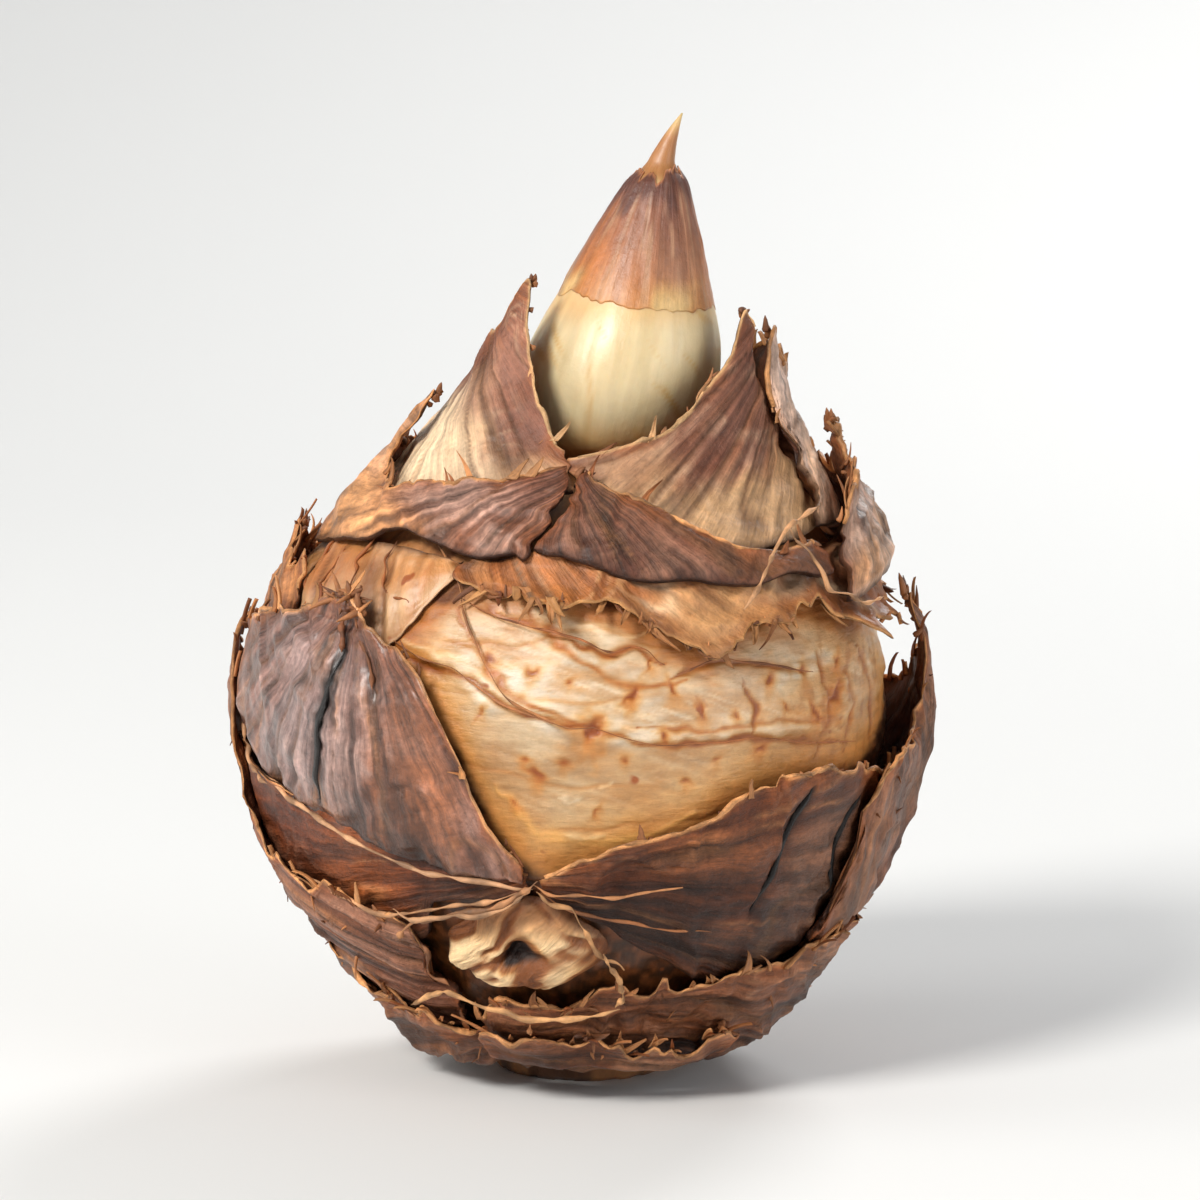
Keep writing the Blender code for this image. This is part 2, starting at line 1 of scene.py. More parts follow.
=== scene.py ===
"""The looks of an alocasia corm: flesh, shoot, sheath, side bud and dry papery scales.

A place on the corm is degrees round the axis (0 at the front, 90 at +X), mm along the skin from the
foot, and mm above the skin. The numbers for the main shapes are those of the CAD source. A colour is
a tuple of screen values from 0 to 255, or an array of linear ones.
"""

import math

import bpy
import numpy as np
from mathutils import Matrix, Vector


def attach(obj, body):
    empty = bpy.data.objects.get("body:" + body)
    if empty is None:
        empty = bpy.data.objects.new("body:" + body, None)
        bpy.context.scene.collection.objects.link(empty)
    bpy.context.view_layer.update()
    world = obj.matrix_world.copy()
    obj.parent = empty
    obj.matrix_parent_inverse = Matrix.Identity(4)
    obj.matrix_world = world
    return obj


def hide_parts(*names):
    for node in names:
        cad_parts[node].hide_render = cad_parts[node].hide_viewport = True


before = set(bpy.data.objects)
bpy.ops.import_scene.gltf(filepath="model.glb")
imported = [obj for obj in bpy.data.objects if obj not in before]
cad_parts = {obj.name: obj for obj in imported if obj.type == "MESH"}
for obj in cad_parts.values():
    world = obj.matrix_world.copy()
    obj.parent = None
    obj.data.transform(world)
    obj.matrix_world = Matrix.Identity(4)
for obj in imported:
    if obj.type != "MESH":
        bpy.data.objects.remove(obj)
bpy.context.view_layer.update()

MM = 0.001
DEGREES_A_RADIAN = 57.3

SKIN_PROFILE = [
    (5.3, 0.9), (7.4, 2.0), (9.9, 4.2), (12.3, 7.2), (14.5, 11.0), (16.0, 15.2), (16.8, 19.2),
    (16.4, 23.2), (15.0, 26.8), (12.7, 30.0), (10.1, 33.2), (8.0, 36.6), (6.7, 40.2), (5.9, 44.0),
]
SCAR_LINE = [
    (-180, 27.5), (-90, 28.5), (-34, 28.2), (-16, 25.5), (1, 24.2), (17, 23.5), (43, 23.6), (90, 25.0),
    (135, 26.5), (180, 27.5),
]


# Numbers to points.


def smooth(t):
    """0 up to t = 0, 1 from t = 1, and smooth in between."""
    t = np.clip(t, 0.0, 1.0)
    return t * t * (3 - 2 * t)


def bell(x):
    """1 where x is 0, and next to nothing beyond 2 on both sides."""
    return np.exp(-x ** 2)


def colour(tint):
    """Linear colour: a tuple holds screen values, an array is linear already."""
    if not isinstance(tint, tuple):
        return np.asarray(tint, float)
    c = np.array(tint) / 255
    return np.where(c <= 0.04045, c / 12.92, ((c + 0.055) / 1.055) ** 2.4)


def blend(a, b, t):
    """Colour a where t is 0, b where t is 1."""
    a, b = colour(a), colour(b)
    return a + (b - a) * np.asarray(t, float)[..., None]


def stain(base, mark, amount):
    """Colour of a base that a mark has soaked into: it turns deeper than a plain mix."""
    share = np.clip(amount, 0, 1)[..., None]
    return np.maximum(base, 0.002) ** (1 - share) * colour(mark) ** share


def stack(*parts):
    """The parts of places or fibres as one array, whose last side counts the parts."""
    return np.stack(np.broadcast_arrays(*parts), axis=-1)


def smooth_line(points, count):
    """Count points on a smooth curve through the given ones."""
    p = np.array(points, float)
    p = np.vstack([2 * p[0] - p[1], p, 2 * p[-1] - p[-2]])
    place = np.linspace(0, len(points) - 1, count)
    i = np.minimum(place.astype(int), len(points) - 2)
    t = (place - i)[:, None]
    a, b, c, d = p[i], p[i + 1], p[i + 2], p[i + 3]
    return 0.5 * (2 * b + (c - a) * t + (2 * a - 5 * b + 4 * c - d) * t ** 2
                  + (3 * b - a - 3 * c + d) * t ** 3)


def line_value(at, points):
    """The value at a place on a line of (place, value) points."""
    return np.interp(at, *zip(*points))


SKIN = smooth_line(SKIN_PROFILE, 600)
SKIN_LENGTH = np.concatenate([[0], np.cumsum(np.hypot(*np.diff(SKIN, axis=0).T))])
SKIN_SLOPE = np.gradient(SKIN, axis=0)
SKIN_SLOPE /= np.hypot(*SKIN_SLOPE.T)[:, None]


def skin_radius(along):
    return np.interp(along, SKIN_LENGTH, SKIN[:, 0])


def axis_shift(z):
    """How far the corm leans to the right at this height, in mm."""
    return 0.19 * np.maximum(0, z - 27.0) + 0.05 * np.maximum(0, z - 48.0) ** 2


def placed(degrees, radius, z):
    """Points in metres; all three may be arrays of one shape."""
    a = np.radians(degrees)
    r = radius * (1 + 0.014 * (np.sin(2 * a + 0.6) + 0.7 * np.sin(3 * a + 0.13 * z)))
    return stack(r * np.sin(a) + axis_shift(z), -r * np.cos(a), z) * MM


def on_skin(degrees, along, above):
    z = np.interp(along, SKIN_LENGTH, SKIN[:, 1])
    out_r = np.interp(along, SKIN_LENGTH, SKIN_SLOPE[:, 1])
    out_z = -np.interp(along, SKIN_LENGTH, SKIN_SLOPE[:, 0])
    return placed(degrees, skin_radius(along) + above * out_r, z + above * out_z)


def outward(degrees, along, above):
    """The way of one mm out of the skin."""
    return on_skin(degrees, along, above + 1) - on_skin(degrees, along, above)


def round_place(degrees, radius):
    """Where these degrees lie on a circle, for noise and fibres without a seam."""
    a = np.radians(degrees)
    return radius * np.sin(a), radius * np.cos(a)


def lattice(ix, iy, iz, seed):
    """A number from -1 to 1 for each whole-number place, always the same one."""
    ix, iy, iz = (i.astype(np.int64) for i in (ix, iy, iz))
    h = (ix * 73856093) ^ (iy * 19349663) ^ (iz * 83492791)
    h = (h ^ (seed * 2654435761)) & 0xFFFFFFFF
    for _ in range(2):
        h = (((h >> 16) ^ h) * 0x45D9F3B) & 0xFFFFFFFF
    h = (h >> 16) ^ h
    return (h & 0xFFFFFF) / float(0x7FFFFF) - 1.0


def noise(x, y, z=0.0, seed=0):
    """Smooth noise from -1 to 1 with bumps about one unit across."""
    x, y, z = np.broadcast_arrays(np.asarray(x, float), np.asarray(y, float), np.asarray(z, float))
    ix, iy, iz = np.floor(x), np.floor(y), np.floor(z)
    fx, fy, fz = smooth(x - ix), smooth(y - iy), smooth(z - iz)
    total = 0.0
    for dx in (0, 1):
        wx = fx if dx else 1 - fx
        for dy in (0, 1):
            wy = fy if dy else 1 - fy
            for dz in (0, 1):
                wz = fz if dz else 1 - fz
                total = total + wx * wy * wz * lattice(ix + dx, iy + dy, iz + dz, seed)
    return total


def rough(x, y, z=0.0, seed=0, octaves=4):
    """Noise with finer and weaker noise added to it, each half as large as the one before."""
    total = 0.0
    for n in range(octaves):
        finer = 2 ** n
        total = total + noise(np.asarray(x) * finer, np.asarray(y) * finer, np.asarray(z) * finer,
                              seed + n) / finer
    return total


def edge_at(points, degrees):
    """The line's (mm along, mm above) at these degrees, without overshoot."""
    p = np.array(points, float)
    i = np.clip(np.searchsorted(p[:, 0], degrees) - 1, 0, len(p) - 2)
    width = np.diff(p[:, 0])
    t = (degrees - p[i, 0]) / width[i]
    found = []
    for c in (1, 2):
        steep = np.diff(p[:, c]) / width
        before, after = steep[:-1], steep[1:]
        both = before * after
        inner = np.where(both > 0, 2 * both / np.where(both > 0, before + after, 1), 0.0)
        slope = np.concatenate([[steep[0]], inner, [steep[-1]]])
        a, b, m, k = p[i, c], p[i + 1, c], slope[i] * width[i], slope[i + 1] * width[i]
        found.append(a + m * t + (3 * (b - a) - 2 * m - k) * t ** 2 + (2 * (a - b) + m + k) * t ** 3)
    return found


def line_mark(x, along, places, width):
    """How strongly a line (degrees, mm along) shows at each point: 1 on it, fading out at its ends."""
    p = smooth_line(places, 30 * len(places))
    px = np.radians(p[:, 0]) * skin_radius(p[:, 1])
    best = np.zeros(x.shape)
    for n, (cx, cy) in enumerate(zip(px, p[:, 1])):
        t = n / (len(px) - 1)
        own = width * (0.35 + 0.65 * float(smooth(min(t, 1 - t) / 0.2))) * (1 + 0.3 * math.sin(9 * t + cx))
        best = np.maximum(best, np.exp(-((x - cx) ** 2 + (along - cy) ** 2) / own ** 2))
    return best


# Points to meshes.


class Batch:
    """Collects surfaces and makes one object of them."""

    def __init__(self):
        self.points, self.faces, self.tints, self.fibres = [], [], [], []
        self.count = 0

    def add(self, points, faces, tints, fibres):
        self.points.append(points.reshape(-1, 3))
        self.faces += [f + self.count for f in faces]
        self.tints.append(tints.reshape(-1, 3))
        self.fibres.append(fibres.reshape(-1, 3))
        self.count += len(self.points[-1])

    def build(self, name, material, slot, nodes=()):
        points = np.vstack(self.points)
        mesh = bpy.data.meshes.new(name)
        mesh.vertices.add(len(points))
        mesh.vertices.foreach_set("co", points.astype(np.float32).ravel())
        sizes = np.concatenate([np.full(len(f), f.shape[1]) for f in self.faces])
        corners = np.concatenate([f.ravel() for f in self.faces])
        mesh.loops.add(len(corners))
        mesh.loops.foreach_set("vertex_index", corners.astype(np.int32))
        mesh.polygons.add(len(sizes))
        starts = np.concatenate([[0], np.cumsum(sizes)[:-1]])
        mesh.polygons.foreach_set("loop_start", starts.astype(np.int32))
        mesh.update(calc_edges=True)
        mesh.polygons.foreach_set("use_smooth", np.ones(len(sizes), bool))
        tint = mesh.attributes.new("tint", "FLOAT_COLOR", "POINT")
        rgba = np.hstack([np.clip(np.vstack(self.tints), 0, 1), np.ones((len(points), 1))])
        tint.data.foreach_set("color", rgba.astype(np.float32).ravel())
        fibre = mesh.attributes.new("fibre", "FLOAT_VECTOR", "POINT")
        fibre.data.foreach_set("vector", np.vstack(self.fibres).astype(np.float32).ravel())
        mesh.materials.append(material)
        obj = in_scene(name, mesh)
        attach(obj, "root")
        if nodes:
            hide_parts(*nodes)
        return obj


def in_scene(name, data):
    obj = bpy.data.objects.new(name, data)
    bpy.context.scene.collection.objects.link(obj)
    return obj


def grid_faces(rows, columns, start=0, flip=False, wrap=False):
    """Quads of a grid of points, row by row; wrap joins its last column to its first."""
    i, j = np.meshgrid(np.arange(rows - 1) * columns, np.arange(columns if wrap else columns - 1),
                       indexing="ij")
    k = (j + 1) % columns
    quads = stack(i + j, i + k, i + columns + k, i + columns + j).reshape(-1, 4) + start
    return quads[:, ::-1] if flip else quads


def sheet_faces(rows, columns, flip=False, wrap=False):
    """Faces of a thin sheet: a grid of outer points, then the same grid of inner ones, and the edges."""
    half = rows * columns
    j = np.arange(columns if wrap else columns - 1)
    k = (j + 1) % columns
    low = stack(k, j, half + j, half + k)
    edges = [low, low[:, ::-1] + half - columns]
    if not wrap:
        i = np.arange(rows - 1) * columns
        left = stack(i, i + columns, half + i + columns, half + i)
        edges = [left, left[:, ::-1] + columns - 1] + edges
    return [grid_faces(rows, columns, 0, flip, wrap), grid_faces(rows, columns, half, not flip, wrap),
            *(edge[:, ::-1] if flip else edge for edge in edges)]


def add_round(batch, rings, tint, fibre, end_rows=(0, -1), end_fibre=(0.0, 0.0, 0.0)):
    """A closed body through rings of points; each end is a fan that has the tint of a ring."""
    rows, sides = rings.shape[:2]
    j = np.arange(sides)
    k = (j + 1) % sides
    top = (rows - 1) * sides
    faces = [grid_faces(rows, sides, wrap=True), stack(k, j, top + sides),
             stack(top + j, top + k, top + sides + 1)]
    points = np.vstack([rings.reshape(-1, 3), rings[0].mean(0), rings[-1].mean(0)])
    tint = np.broadcast_to(tint, rings.shape)
    tints = np.vstack([tint.reshape(-1, 3), *(tint[row, :1] for row in end_rows)])
    batch.add(points, faces, tints, np.vstack([fibre.reshape(-1, 3), end_fibre, end_fibre]))


def add_tube(batch, path, radii, tint, out, sides, seed):
    """A strand along a path of points in metres, with radii in mm, closed at both ends."""
    tangent = np.gradient(path, axis=0)
    tangent /= np.linalg.norm(tangent, axis=1)[:, None] + 1e-12
    side = np.cross(tangent, out)
    side /= np.linalg.norm(side, axis=1)[:, None] + 1e-12
    up = np.cross(side, tangent)
    a = 2 * np.pi * np.arange(sides) / sides
    ring = np.cos(a)[None, :, None] * side[:, None] + np.sin(a)[None, :, None] * up[:, None]
    rings = path[:, None] + ring * (radii[:, None, None] * MM)
    length = np.concatenate([[0], np.cumsum(np.linalg.norm(np.diff(path, axis=0), axis=1))]) / MM
    tint = colour(tint)
    add_round(batch, rings, tint if tint.ndim == 1 else tint[:, None],
              stack(np.arange(sides) * 0.15, length[:, None] * 0.3, seed), end_fibre=(0.0, 0.0, seed))


# Materials.

SUBSURFACE_RADIUS, SUBSURFACE_SCALE = (1.0, 0.62, 0.4), 0.0012
DUST_SHARE = 0.45  # of a material's contrast, for its fine grain


def make_material(name, roughness, fibre_scale, fibre_depth, contrast, grain, bump_mm, subsurface=0.0,
                  coat=0.0, coat_roughness=0.3, gloss=0.5, speck=None):
    """Tint from the mesh, varied along its fibres and by a fine grain; both also raise the surface."""
    material = bpy.data.materials.new(name)
    material.use_nodes = True
    tree = material.node_tree

    def fill(node, sockets):
        for key, value in sockets.items():
            if isinstance(value, bpy.types.NodeSocket):
                tree.links.new(value, node.inputs[key])
            else:
                node.inputs[key].default_value = value

    def make(kind, output, sockets, **settings):
        """A new node's output; its sockets get the outputs of other nodes, or constants."""
        node = tree.nodes.new(kind)
        for key, value in settings.items():
            setattr(node, key, value)
        fill(node, sockets)
        return node.outputs[output]

    def speckle(place, scale, detail, rough_share):
        return make("ShaderNodeTexNoise", "Fac", {"Vector": place, "Scale": scale, "Detail": detail,
                                                  "Roughness": rough_share})

    def spread(value, low, high, start=0.3, end=0.7):
        return make("ShaderNodeMapRange", "Result", {"Value": value, "From Min": start, "From Max": end,
                                                     "To Min": low, "To Max": high})

    place = make("ShaderNodeTexCoord", "Object", {})
    fibre = make("ShaderNodeAttribute", "Vector", {}, attribute_name="fibre")
    lines = speckle(fibre, fibre_scale, 6.0, 0.62)
    fine = speckle(place, grain, 5.0, 0.6)
    both = make("ShaderNodeMath", "Value", {
        0: spread(lines, 1 - contrast, 1 + contrast),
        1: spread(fine, 1 - contrast * DUST_SHARE, 1 + contrast * DUST_SHARE)}, operation="MULTIPLY")
    tint = make("ShaderNodeAttribute", "Color", {}, attribute_name="tint")
    tint = make("ShaderNodeVectorMath", "Vector", {0: tint, "Scale": both}, operation="SCALE")
    if speck:
        speck_scale, speck_edge, speck_tint = speck
        spots = speckle(place, speck_scale, 2.0, 0.5)
        tint = make("ShaderNodeMix", "Result", {
            "Factor": spread(spots, 0.0, 1.0, speck_edge, speck_edge + 0.05), "A": tint,
            "B": (*colour(speck_tint), 1.0)}, data_type="RGBA")
    height = make("ShaderNodeMath", "Value", {0: lines, 1: fibre_depth, 2: fine}, operation="MULTIPLY_ADD")
    fill(tree.nodes["Principled BSDF"], {
        "Base Color": tint, "Roughness": spread(lines, roughness - 0.1, roughness + 0.14),
        "Normal": make("ShaderNodeBump", "Normal", {"Strength": 1.0, "Distance": bump_mm * MM,
                                                    "Height": height}),
        "Subsurface Weight": subsurface, "Subsurface Radius": SUBSURFACE_RADIUS,
        "Subsurface Scale": SUBSURFACE_SCALE, "Specular IOR Level": gloss, "Coat Weight": coat,
        "Coat Roughness": coat_roughness})
    return material


FLESH = make_material("corm_skin", 0.42, 1.5, 1.6, 0.17, 2100.0, 0.06, subsurface=0.15, coat=0.16,
                      speck=(620.0, 0.69, (158, 84, 36)))
CREAM = make_material("cream_shoot", 0.38, 1.3, 1.4, 0.07, 1500.0, 0.035, subsurface=0.32, coat=0.25)
SHEATH = make_material("browned_sheath", 0.4, 1.2, 2.0, 0.26, 2200.0, 0.07, subsurface=0.1, coat=0.2)
PAPER = make_material("dark_papery_scale", 0.47, 2.2, 2.2, 0.66, 2400.0, 0.15, coat=0.14,
                      coat_roughness=0.36, gloss=0.32)
SILKY = make_material("silky_papery_scale", 0.36, 2.2, 2.2, 0.66, 2400.0, 0.16, coat=0.5)
TAN = make_material("tan_papery_scale", 0.48, 2.2, 2.2, 0.4, 2200.0, 0.13, subsurface=0.06, coat=0.1,
                    gloss=0.4)
STRAND = make_material("dry_strand", 0.6, 2.5, 1.5, 0.35, 3000.0, 0.04)
BUD = make_material("bud_cushion", 0.5, 1.8, 2.2, 0.26, 2300.0, 0.1, subsurface=0.06)


# Flesh.

FLESH_RADIUS = 16.0
FLESH_SINK_MM = 0.08
RINGS_MM = (19.4, 21.6, 26.4, 29.2)
OPEN_RIM_LOW = [
    (-180, 24.0), (-98, 26.5), (-60, 29.0), (-43, 29.0), (-30, 27.4), (-22, 24.0), (-16, 19.8),
    (-9, 17.3), (-2, 17.0), (10, 18.7), (21, 19.5), (30, 20.9), (43, 21.7), (66, 22.0), (92, 26.0),
    (118, 23.0), (148, 24.0), (180, 24.0),
]
OPEN_RIM_HIGH = [
    (-180, 25.6), (-110, 25.4), (-56, 27.0), (-40, 27.6), (-26, 31.0), (-10, 31.2), (5, 30.4), (15, 28.8),
    (24, 27.6), (36, 29.6), (50, 29.8), (64, 28.4), (90, 29.6), (112, 28.2), (132, 26.0), (150, 27.6),
    (180, 25.6),
]
# Marks on the flesh: half width and depth in mm, colour, strength, then the places.
FLESH_LINES = [
    (0.19, -0.1, (146, 76, 22), 0.85, [(-41, 28.6), (-32, 27.6), (-21, 27.0), (-13, 25.8), (-5, 24.9),
     (2, 24.5)]),
    (0.3, 0.06, (246, 222, 190), 0.4, [(-36, 28.6), (-24, 27.9), (-14, 26.5), (-5, 25.6), (3, 25.1)]),
    (0.2, -0.1, (150, 80, 26), 0.8, [(2, 24.5), (11, 23.8), (22, 23.5), (34, 23.6), (44, 23.1),
     (59, 22.5)]),
    (0.2, 0.08, (246, 214, 178), 0.4, [(8, 24.5), (18, 24.1), (30, 24.2), (42, 23.9), (56, 23.2)]),
    (0.16, -0.08, (166, 96, 40), 0.6, [(10, 24.6), (24, 24.2), (38, 24.4), (50, 23.8)]),
    (0.19, -0.09, (164, 90, 34), 0.8, [(-25, 31.4), (-16, 30.4), (-9, 30.0), (-2, 29.3), (5, 28.4),
     (10, 28.7), (16, 27.9)]),
    (0.28, 0.06, (250, 230, 202), 0.5, [(-18, 31.2), (-8, 30.8), (-1, 30.2), (6, 29.3), (12, 29.4)]),
    (0.18, -0.07, (174, 100, 42), 0.7, [(-14, 31.4), (-5, 29.3), (3, 27.6), (11, 26.6), (20, 27.0)]),
    (0.17, -0.08, (172, 96, 38), 0.75, [(-41, 34.9), (-29, 32.3), (-22, 29.4), (-15, 27.0), (-6, 25.4),
     (2, 24.6)]),
    (0.2, -0.1, (148, 80, 28), 0.7, [(17, 27.1), (24, 27.7), (35, 27.5), (47, 26.8)]),
    (0.18, -0.08, (140, 72, 22), 0.7, [(31, 26.4), (33, 25.3), (32, 23.8)]),
    (0.22, -0.1, (150, 82, 28), 0.6, [(64, 27.4), (70, 25.0), (70, 21.7)]),
    (0.22, -0.1, (154, 86, 32), 0.6, [(50, 27.6), (52, 24.6), (48, 22.0)]),
    (0.2, -0.08, (160, 92, 40), 0.5, [(58, 26.9), (60, 24.5), (58, 22.6)]),
    (0.3, 0.06, (240, 176, 96), 0.7, [(-15, 21.4), (-10, 19.6), (-5, 18.5), (3, 18.2), (12, 18.7),
     (21, 19.8)]),
    # The last three lines are painted highlights: short pale strokes standing for glints on small wrinkles.
    (0.1, 0.05, (250, 232, 204), 0.35, [(-4, 20.8), (-2, 20.5), (0, 20.7)]),
    (0.1, 0.05, (250, 232, 204), 0.35, [(3, 21.3), (5, 21.5), (6, 21.8)]),
    (0.14, 0.07, (250, 226, 190), 0.35, [(-3, 18.6), (1, 18.4), (5, 18.7)]),
]
# Pits: degrees, mm along, half width and depth in mm, darkness.
PITS = [
    (2, 24.5, 0.52, 0.3, 1.0), (-17, 28.2, 0.3, 0.08, 0.8), (9, 26.2, 0.34, 0.1, 0.8),
    (22, 25.2, 0.26, 0.08, 0.8), (-3, 22.8, 0.26, 0.08, 0.6), (34, 23.0, 0.3, 0.08, 0.7),
    (48, 24.4, 0.34, 0.1, 0.8), (56, 27.0, 0.3, 0.1, 0.7), (-9, 27.5, 0.26, 0.1, 0.7),
    (-8, 22.1, 0.32, 0.14, 0.75), (-18, 25.2, 0.2, 0.06, 0.5), (8, 22.9, 0.2, 0.06, 0.5),
    (19, 21.6, 0.24, 0.08, 0.5), (54, 25.3, 0.42, 0.18, 0.95), (17, 26.5, 0.26, 0.1, 0.7),
    (15, 24.0, 0.24, 0.12, 0.8), (25, 22.7, 0.2, 0.06, 0.45), (-12, 20.5, 0.22, 0.06, 0.5),
    (3, 19.9, 0.24, 0.06, 0.5), (37, 26.7, 0.3, 0.12, 0.8), (29, 24.9, 0.22, 0.08, 0.55),
    (13, 27.9, 0.2, 0.08, 0.5), (46, 26.9, 0.28, 0.12, 0.7), (-10, 22.9, 0.2, 0.08, 0.6),
    (-2, 27.0, 0.18, 0.05, 0.5), (40, 25.0, 0.2, 0.06, 0.5), (60, 23.9, 0.26, 0.1, 0.7),
]
# How the flesh closes under the scales at its top: radius and height in mm.
CROWN_LINE = [(14.65, 27.3), (12.9, 29.2), (10.4, 31.2), (7.2, 32.4), (3.6, 32.85), (0.5, 32.9)]


def flesh_marks(relief, tint, flat, along, cloud):
    """Adds the lines and the pits to the relief and the colour."""
    wobble = 0.16 * noise(flat / 0.7, along / 0.7, 0, 17)
    for width, depth, mark, strength, places in FLESH_LINES:
        shown = line_mark(flat + wobble, along + wobble, places, width)
        relief = relief + depth * shown
        tint = stain(tint, mark, 1.1 * strength * shown * (1 + 0.5 * cloud))
    for n, (at_degrees, at_along, width, depth, dark) in enumerate(PITS):
        cx = math.radians(at_degrees) * float(skin_radius(at_along))
        dx = flat - cx + 0.7 * width * noise(flat / 0.4, along / 0.4, n, 18)
        dy = along - at_along + 0.7 * width * noise(flat / 0.4, along / 0.4, n + 50, 18)
        slant, long = 0.8 * math.sin(2.3 * n), 0.75 + 0.45 * math.sin(1.7 * n)
        far = (dx + slant * dy) ** 2 / long + dy ** 2 * long
        smear = np.exp(-(dx / (1.3 * width)) ** 2 - ((dy + 1.1 * width) / (2.2 * width)) ** 2)
        relief = relief - 0.8 * depth * np.exp(-far / (0.9 * width) ** 2)
        halo = np.maximum(smear, np.exp(-far / (1.7 * width) ** 2))
        tint = stain(tint, (204, 118, 44), 0.7 * dark * halo)
        tint = stain(tint, (140, 66, 14), 1.3 * dark * np.exp(-far / (0.8 * width) ** 2))
    return relief, tint


def flesh_field(degrees, along):
    """Relief in mm and colour of the flesh."""
    turned = (degrees + 180) % 360 - 180
    x, y = round_place(degrees, FLESH_RADIUS)
    flat = np.radians(turned) * skin_radius(along)
    scar = line_value(turned, SCAR_LINE) + 0.35 * noise(x / 1.6, y / 1.6, 0, 3)
    above_scar = smooth((along - scar) / 0.9 + 0.5)
    relief = 0.2 * (above_scar - 1) + 0.16 * (noise(x / 4, y / 4, along / 3.5, 4) - 1)
    fold = rough(x / 3.0, y / 3.0, along / 0.8, 6, 4)
    wrinkle = rough(x / 1.3, y / 1.3, along / 0.36, 19, 3)
    relief += (0.036 * above_scar + 0.012) * fold + (0.006 + 0.014 * above_scar) * wrinkle
    rings = 0.0
    for n, start in enumerate(RINGS_MM):
        line = start + 1.1 * noise(x / 6, y / 6, n * 3.0, 7) + 0.25 * noise(x / 1.2, y / 1.2, n * 3.0, 8)
        rings = rings + bell((along - line) / 0.12) * smooth(0.4 + noise(x / 4, y / 4, n, 9))
    relief -= 0.05 * rings
    low_gap = along - line_value(turned, OPEN_RIM_LOW)
    high_gap = line_value(turned, OPEN_RIM_HIGH) - along
    mottle = rough(x / 2.6, y / 2.6, along / 1.6, 10)
    cloud = rough(x / 1.1, y / 1.1, along / 0.7, 14, 3)
    streak = rough(x / 0.7 + 0.4 * along, y / 0.7, along / 0.35, 12, 3)
    upper = blend((198, 156, 112), (222, 206, 184), smooth(0.6 + 0.6 * mottle + 0.4 * fold))
    lower = blend((166, 124, 82), (196, 168, 132), smooth(0.5 + 0.6 * mottle))
    tint = blend(lower, upper, above_scar)
    tint = tint * (1 + 0.06 * streak + 0.05 * cloud)[..., None]
    tint = stain(tint, (204, 146, 88), (0.2 + 0.25 * above_scar) * smooth(0.9 * cloud - 0.25 * fold - 0.1))
    front = smooth((150 - np.abs(turned)) / 20) * (0.25 + 0.75 * above_scar)
    stroke = rough((along + 0.4 * flat) / 0.34, flat / 2.6, 2, 20, 3)
    patchy = smooth(0.5 + 1.1 * noise(flat / 2.4, along / 1.7, 4, 29))
    tint = stain(tint, (186, 124, 66), 0.5 * front * patchy * smooth(1.7 * stroke - 0.45))
    tint = blend(tint, (240, 225, 198), 0.45 * front * smooth(-1.6 * stroke - 0.4))
    relief += 0.02 * front * stroke
    # Beside the lower scales' rims the flesh turns orange: its own colour, deepened into painted shade right
    # at the rims.
    tint = stain(tint, (200, 110, 38), 0.9 * np.exp(-np.maximum(low_gap, 0) / 1.1))
    tint = blend(tint, (232, 170, 98), 0.5 * np.exp(-np.maximum(low_gap, 0) / 2.6))
    # Below the upper scales' rims: brown staining together with painted shade.
    tint = stain(tint, (168, 94, 40), 0.75 * np.exp(-np.maximum(high_gap, 0) / 0.9) * above_scar)
    right = np.exp(-((turned - 60) / 19) ** 2 - ((along - 25.2) / 3.0) ** 2)
    tint = stain(tint, (188, 122, 62), 0.8 * right * smooth(0.65 + mottle + 0.4 * cloud))
    strips = rough(flat / 0.5, along / 1.6, 7, 28, 3)
    tint = stain(tint, (150, 88, 40), 0.5 * right * smooth(1.5 * strips - 0.3))
    tint = stain(tint, (176, 108, 50), 0.4 * np.clip(rings, 0, 1))
    relief, tint = flesh_marks(relief, tint, flat, along, cloud)
    # Under the scales the flesh is painted dark brown: the colour of the covering skin, deepened as painted
    # shade in the gaps between scales.
    covered = smooth((-low_gap - 0.3) / 1.2)
    skin = blend((46, 22, 10), (122, 68, 34), smooth(0.3 + 0.9 * streak + 0.3 * mottle))
    tint = blend(tint, skin, 0.96 * covered)
    relief += 0.1 * covered * rough(x / 1.6, y / 1.6, along / 0.45, 13, 3)
    return relief, np.clip(tint, 0, 1)


